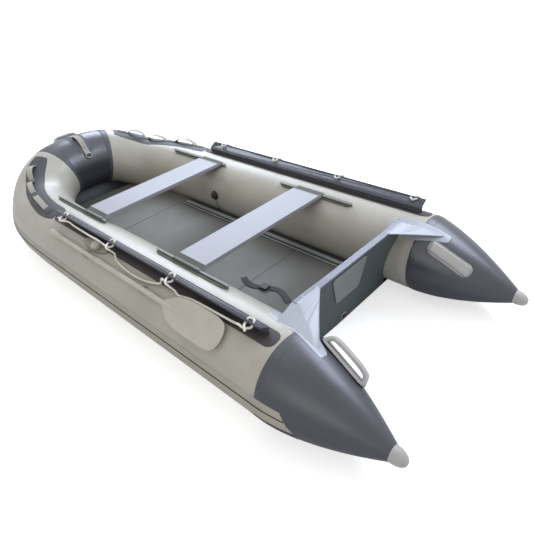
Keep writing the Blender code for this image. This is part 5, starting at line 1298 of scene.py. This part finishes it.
# Valves
VALVE_AFT = 0.2711
VALVE_ANGLE = -84.4
VALVE_BODY = ((0.0, 0.009), (0.026, 0.009), (0.026, 0.0045), (0.0325, 0.0035), (0.0325, 0.0), (0.0, -0.001))
VALVE_LID = (
    (0.0, 0.0213), (0.008, 0.0215), (0.012, 0.0195), (0.019, 0.0205),
    (0.023, 0.0185), (0.023, 0.0093), (0.0, 0.0093),
)
VALVE_LID_RIBS = {"ribs": 16, "depth": 0.0016, "rib_span": (0.0095, 0.0184)}
KEEPER_TURN = (-8.5, -38)
KEEPER_DRIFT = 0.010
KEEPER_TAB = ((0.0, 0.006), (0.0075, 0.006), (0.0085, 0.0), (0.0, 0.0))


def valve(prefix, side):
    matrix = skin_frame(-VALVE_AFT, VALVE_ANGLE, -SKIN_GAP, side)
    name = prefix + "_valve_body"
    add(turned(name, rounded(VALVE_BODY), matrix, DARK), name)
    name = prefix + "_valve_cap"
    lid = turned(name, rounded(VALVE_LID, 0.0015), matrix, DARK, 96, **VALVE_LID_RIBS)
    add(lid, name, body=prefix + "_valve_lid")
    name = prefix + "_valve_keeper"
    degrees = VALVE_ANGLE + np.linspace(*KEEPER_TURN, 30)
    distances = -VALVE_AFT - KEEPER_DRIFT * np.sin(np.linspace(0, math.pi, 30))
    path = skin(distances, degrees, 0.0022, side)
    section = rounded_box(0.0045, 0.0022, 0.0008, 3)
    cord = swept(name, path, section, DARK, skin_normals(distances, degrees, side))
    matrix = skin_frame(-VALVE_AFT - 0.002, VALVE_ANGLE - 40, SKIN_GAP, side)
    add(join(name, [cord, turned("tab", rounded(KEEPER_TAB), matrix, DARK, 32)]))


both_sides(valve)

# Rowlocks
ROWLOCK_AFT = 0.4671
ROWLOCK_KNOB_AFT = 0.5041
ROWLOCK_ANGLE = 23.5
ROWLOCK_LENGTH = 0.24
ROWLOCK_WIDTH = 0.066
ROWLOCK_LIFT = SKIN_GAP + PATCH_THICKNESS
ROWLOCK_TOP = 0.0123
# Share of the base's outline, and height
ROWLOCK_DOME = ((1.0, -0.001), (1.0, 0.004), (0.94, 0.0075), (0.80, 0.0105), (0.55, 0.0122), (0.25, 0.0127))
KNOB_PROFILE = (
    (0.0, 0.030), (0.014, 0.0295), (0.0165, 0.0265), (0.024, 0.0255), (0.029, 0.0215),
    (0.031, 0.012), (0.030, 0.003), (0.026, 0.0005), (0.0, 0.0005),
)
KNOB_RIBS = {"ribs": 12, "depth": 0.0036, "rib_span": (0.001, 0.0245)}


def rowlock(prefix, side):
    share = np.sin(np.linspace(-math.pi / 2, math.pi / 2, 40))
    half = ROWLOCK_WIDTH / 2 * (1 - share**2) ** 0.62
    outline = np.column_stack([share * ROWLOCK_LENGTH / 2, half])
    outline = np.vstack([outline, outline[-2:0:-1] * (1, -1)])
    rings = [np.insert(outline * inset, 2, z, axis=1) for inset, z in ROWLOCK_DOME]
    base = tube_mesh(prefix + "_rowlock_base", rings, ROWLOCK, 50.0)
    base.data.transform(skin_frame(-ROWLOCK_AFT, ROWLOCK_ANGLE, ROWLOCK_LIFT, side))
    add(base, prefix + "_rowlock_base")
    name = prefix + "_rowlock_knob"
    matrix = skin_frame(-ROWLOCK_KNOB_AFT, ROWLOCK_ANGLE, ROWLOCK_LIFT + ROWLOCK_TOP, side)
    knob = turned(name, rounded(KNOB_PROFILE, 0.002), matrix, KNOB, 120, **KNOB_RIBS)
    add(knob, name, body=prefix + "_knob")


both_sides(rowlock)

# Oars
OAR_ANGLE = 39.4
OAR_STANDOFF = 0.019
OAR_RADIUS = 0.014
OAR_FRONT_AFT = 0.0671
OAR_JOINT_AFT = 1.0771
OAR_LENGTH = OAR_JOINT_AFT - OAR_FRONT_AFT - 0.0003
OAR_NECK = 0.073
BLADE_LENGTH = 0.384
BLADE_HALF_WIDTH = 0.075
BLADE_HALF_THICKNESS = 0.0030
BLADE_RIB = 0.011
# Radius and distance from the grip's end: the ribbed grip, the joint's sleeve and the end's collar
SHAFT_PROFILE = (
    (0.0, 0.0), (0.012, 0.0), (0.0165, 0.003), (0.017, 0.010),
    *((0.017 - 0.0007 * (k % 2), 0.014 + 0.0044 * k) for k in range(24)),
    (0.017, 0.12), (0.0145, 0.121), (OAR_RADIUS, 0.124), (OAR_RADIUS, 0.505), (0.0160, 0.507),
    (0.0160, 0.545), (OAR_RADIUS, 0.548), (OAR_RADIUS, OAR_LENGTH - 0.03), (0.0152, OAR_LENGTH - 0.028),
    (0.0152, OAR_LENGTH), (0.0, OAR_LENGTH),
)
NECK_PROFILE = (
    (0.0, 0.0), (OAR_RADIUS, 0.0), (OAR_RADIUS, 0.035), (0.013, 0.06),
    (0.0118, 0.09), (0.0105, 0.14), (0.0, 0.141),
)
BLADE_WIDTH_SHARES = (
    (0, 0.2), (0.06, 0.42), (0.16, 0.78), (0.3, 0.95), (0.5, 1),
    (0.82, 0.98), (0.93, 0.86), (0.98, 0.62), (1, 0.3),
)
BLADE_TIP_SHARES = (0.97, 0.88, 0.72, 0.5)


def oar_frame(distance_aft, side):
    """A frame on the shaft's axis: z points aft along it and y away from the tube."""
    base = skin_frame(-distance_aft, OAR_ANGLE, OAR_STANDOFF, side)
    normal, backward = Vector(base.col[2][:3]), Vector((-1, 0, 0))
    turn = Matrix((normal.cross(backward), normal, backward)).transposed().to_4x4()
    return Matrix.Translation(base.translation) @ turn


def oar(prefix, side):
    body, name = prefix + "_oar", prefix + "_oar_shaft"
    add(turned(name, SHAFT_PROFILE, oar_frame(OAR_FRONT_AFT, side), OAR, 40), name, body=body)
    rows = legs(0, (0.1, 12), (0.9, 40), (1, 14))
    half = BLADE_HALF_WIDTH * smooth_table(rows, BLADE_WIDTH_SHARES)
    half[-4:] *= BLADE_TIP_SHARES
    x = half[:, None] * np.linspace(-1, 1, 41)
    rows = rows[:, None]
    z = OAR_NECK + BLADE_LENGTH * rows + np.zeros_like(x)
    edge, tip = half[:, None] - np.abs(x), (1 - rows) * BLADE_LENGTH
    slab = BLADE_HALF_THICKNESS * eased(edge, 0.004) * eased(tip, 0.004)
    reach = BLADE_RIB * np.clip((0.72 - rows) / 0.62, 0, 1) ** 0.7 + 1e-5
    rib = np.sqrt(np.clip(reach**2 - x**2, 0, None))
    rise = np.maximum(slab, rib) + 0.0016 * np.exp(-((x / 0.02) ** 2)) * (rows < 0.97)
    blade = sheet_mesh("blade", np.stack([x, rise, z], -1), np.stack([x, -rise, z], -1), OAR, 60.0)
    whole = join(prefix + "_oar_blade", [blade, turned("neck", NECK_PROFILE, Matrix(), OAR, 40)])
    whole.data.transform(oar_frame(OAR_JOINT_AFT, side))
    add(whole, prefix + "_oar_blade", body=body)
    for end in ("front", "rear"):
        dress(f"{prefix}_{end}_oar_clip", CLIP)


both_sides(oar)

# Strap and buckle on the floor
FLOOR_STRAP_ENDS_AFT = (1.0071, 1.3611)
FLOOR_STRAP_SIDE = 0.105
FLOOR_STRAP_SWING = 0.028
FLOOR_STRAP_SWEEP = math.radians(396)
FLOOR_STRAP_WIDTH = 0.036
FLOOR_STRAP_THICKNESS = 0.0024


def floor_strap():
    share = np.linspace(0, 1, 80)
    front, rear = FLOOR_STRAP_ENDS_AFT
    x = aft(front + (rear - front) * share)
    y = FLOOR_STRAP_SIDE + FLOOR_STRAP_SWING * np.sin(FLOOR_STRAP_SWEEP * share)
    z = FLOOR_TOP + 0.0016 + 0.002 * np.abs(np.sin(share * 9))
    section = rounded_box(FLOOR_STRAP_WIDTH, FLOOR_STRAP_THICKNESS, 0.0009, 3)
    path = np.column_stack([x, y, z])
    add(swept("floor_strap", path, section, DARK_WEBBING, normals=(0, 0, 1)), "floor_strap")


floor_strap()
dress("strap_buckle", DARK, 0.003)

# Chafe patches under the strake, aft
CHAFE_ENDS = (-STRAIGHT_LENGTH + 0.03, -STRAIGHT_LENGTH - 0.16)
CHAFE_ANGLES = (105.0, 150.0)


def chafe_patch(prefix, side):
    distances = spaced(*CHAFE_ENDS, 0.008)
    span = rounded_span(distances, *CHAFE_ENDS, *CHAFE_ANGLES, 0.03)
    add(skin_patch(prefix + "_chafe_patch", distances, *span, 0.0012, PATCH, side, edge=0.002))


both_sides(chafe_patch)

# Stage, light and background
STAGE_SIZE = 60
FLOOR_COLOUR = (235, 236, 238)
FLOOR_GLOW = 0.6
WORLD_TINT = (1.0, 0.985, 0.95)
WORLD_STRENGTH = 0.60
WHITE = (1, 1, 1, 1)
# Place, target, size, power and colour
LIGHTS = {
    "key": ((3.3, -3.0, 3.0), (-0.3, 0, 0.3), (4.0, 2.0), 180.0, (0.76, 0.85, 1.0)),
    "stern": ((-1.9, -2.7, 3.3), (-1.3, 0, 0.2), (2.8, 1.6), 105.0, (0.72, 0.81, 1.0)),
    "top": ((-0.2, 0.0, 3.9), (0, 0, 0.2), (3.4, 3.0), 18.0, (0.94, 0.97, 1.0)),
    "fill": ((-2.6, 3.6, 1.8), (0, 0.3, 0.2), (2.4, 1.6), 12.0, (1.0, 0.98, 0.95)),
}


def seen_as(tree, rays, hidden, shown):
    """One shader to the named kinds of rays and another to the rest."""
    path = node(tree, "LightPath").outputs
    seen = path[rays[0]]
    for ray in rays[1:]:
        seen = math_node(tree, "MAXIMUM", seen, path[ray])
    return node(tree, "MixShader", i0=seen, i1=hidden, i2=shown).outputs[0]


def make_floor():
    """A pale floor that glows a little for the camera alone, so it shows white and keeps its shadow."""
    bpy.ops.mesh.primitive_plane_add(size=STAGE_SIZE, location=(0, 0, 0))
    ground = bpy.context.object
    ground.name = "studio_floor"
    material = bpy.data.materials.new("studio_floor")
    material.use_nodes = True
    tree = material.node_tree
    diffuse = node(tree, "BsdfDiffuse", Color=(*srgb(FLOOR_COLOUR), 1)).outputs[0]
    glow = node(tree, "Emission", Color=WHITE, Strength=FLOOR_GLOW).outputs[0]
    lit = node(tree, "AddShader", i0=diffuse, i1=glow).outputs[0]
    look = seen_as(tree, ("Is Camera Ray",), diffuse, lit)
    tree.links.new(look, tree.nodes["Material Output"].inputs["Surface"])
    ground.data.materials.append(material)


def make_world():
    """White to the camera and in reflections, and soft light otherwise."""
    world = bpy.context.scene.world = bpy.data.worlds.new("studio")
    world.use_nodes = True
    tree = world.node_tree
    sky = tree.nodes["Background"]
    sky.inputs["Color"].default_value = (*WORLD_TINT, 1)
    sky.inputs["Strength"].default_value = WORLD_STRENGTH
    white = node(tree, "Background", Color=WHITE, Strength=1.0).outputs[0]
    rays = ("Is Camera Ray", "Is Glossy Ray", "Is Transmission Ray")
    tree.links.new(seen_as(tree, rays, sky.outputs[0], white), tree.nodes["World Output"].inputs["Surface"])


def area_light(name, place, target, size, power, colour):
    data = bpy.data.lights.new(name, "AREA")
    data.shape = "RECTANGLE"
    data.size, data.size_y = size
    data.energy = power
    data.color = colour
    lamp = bpy.data.objects.new(name, data)
    lamp.location = place
    lamp.rotation_mode = "QUATERNION"
    lamp.rotation_quaternion = (Vector(target) - Vector(place)).to_track_quat("-Z", "Y")
    bpy.context.scene.collection.objects.link(lamp)


make_floor()
make_world()
for name, light in LIGHTS.items():
    area_light(name, *light)

bpy.context.scene.view_settings.view_transform = "Standard"
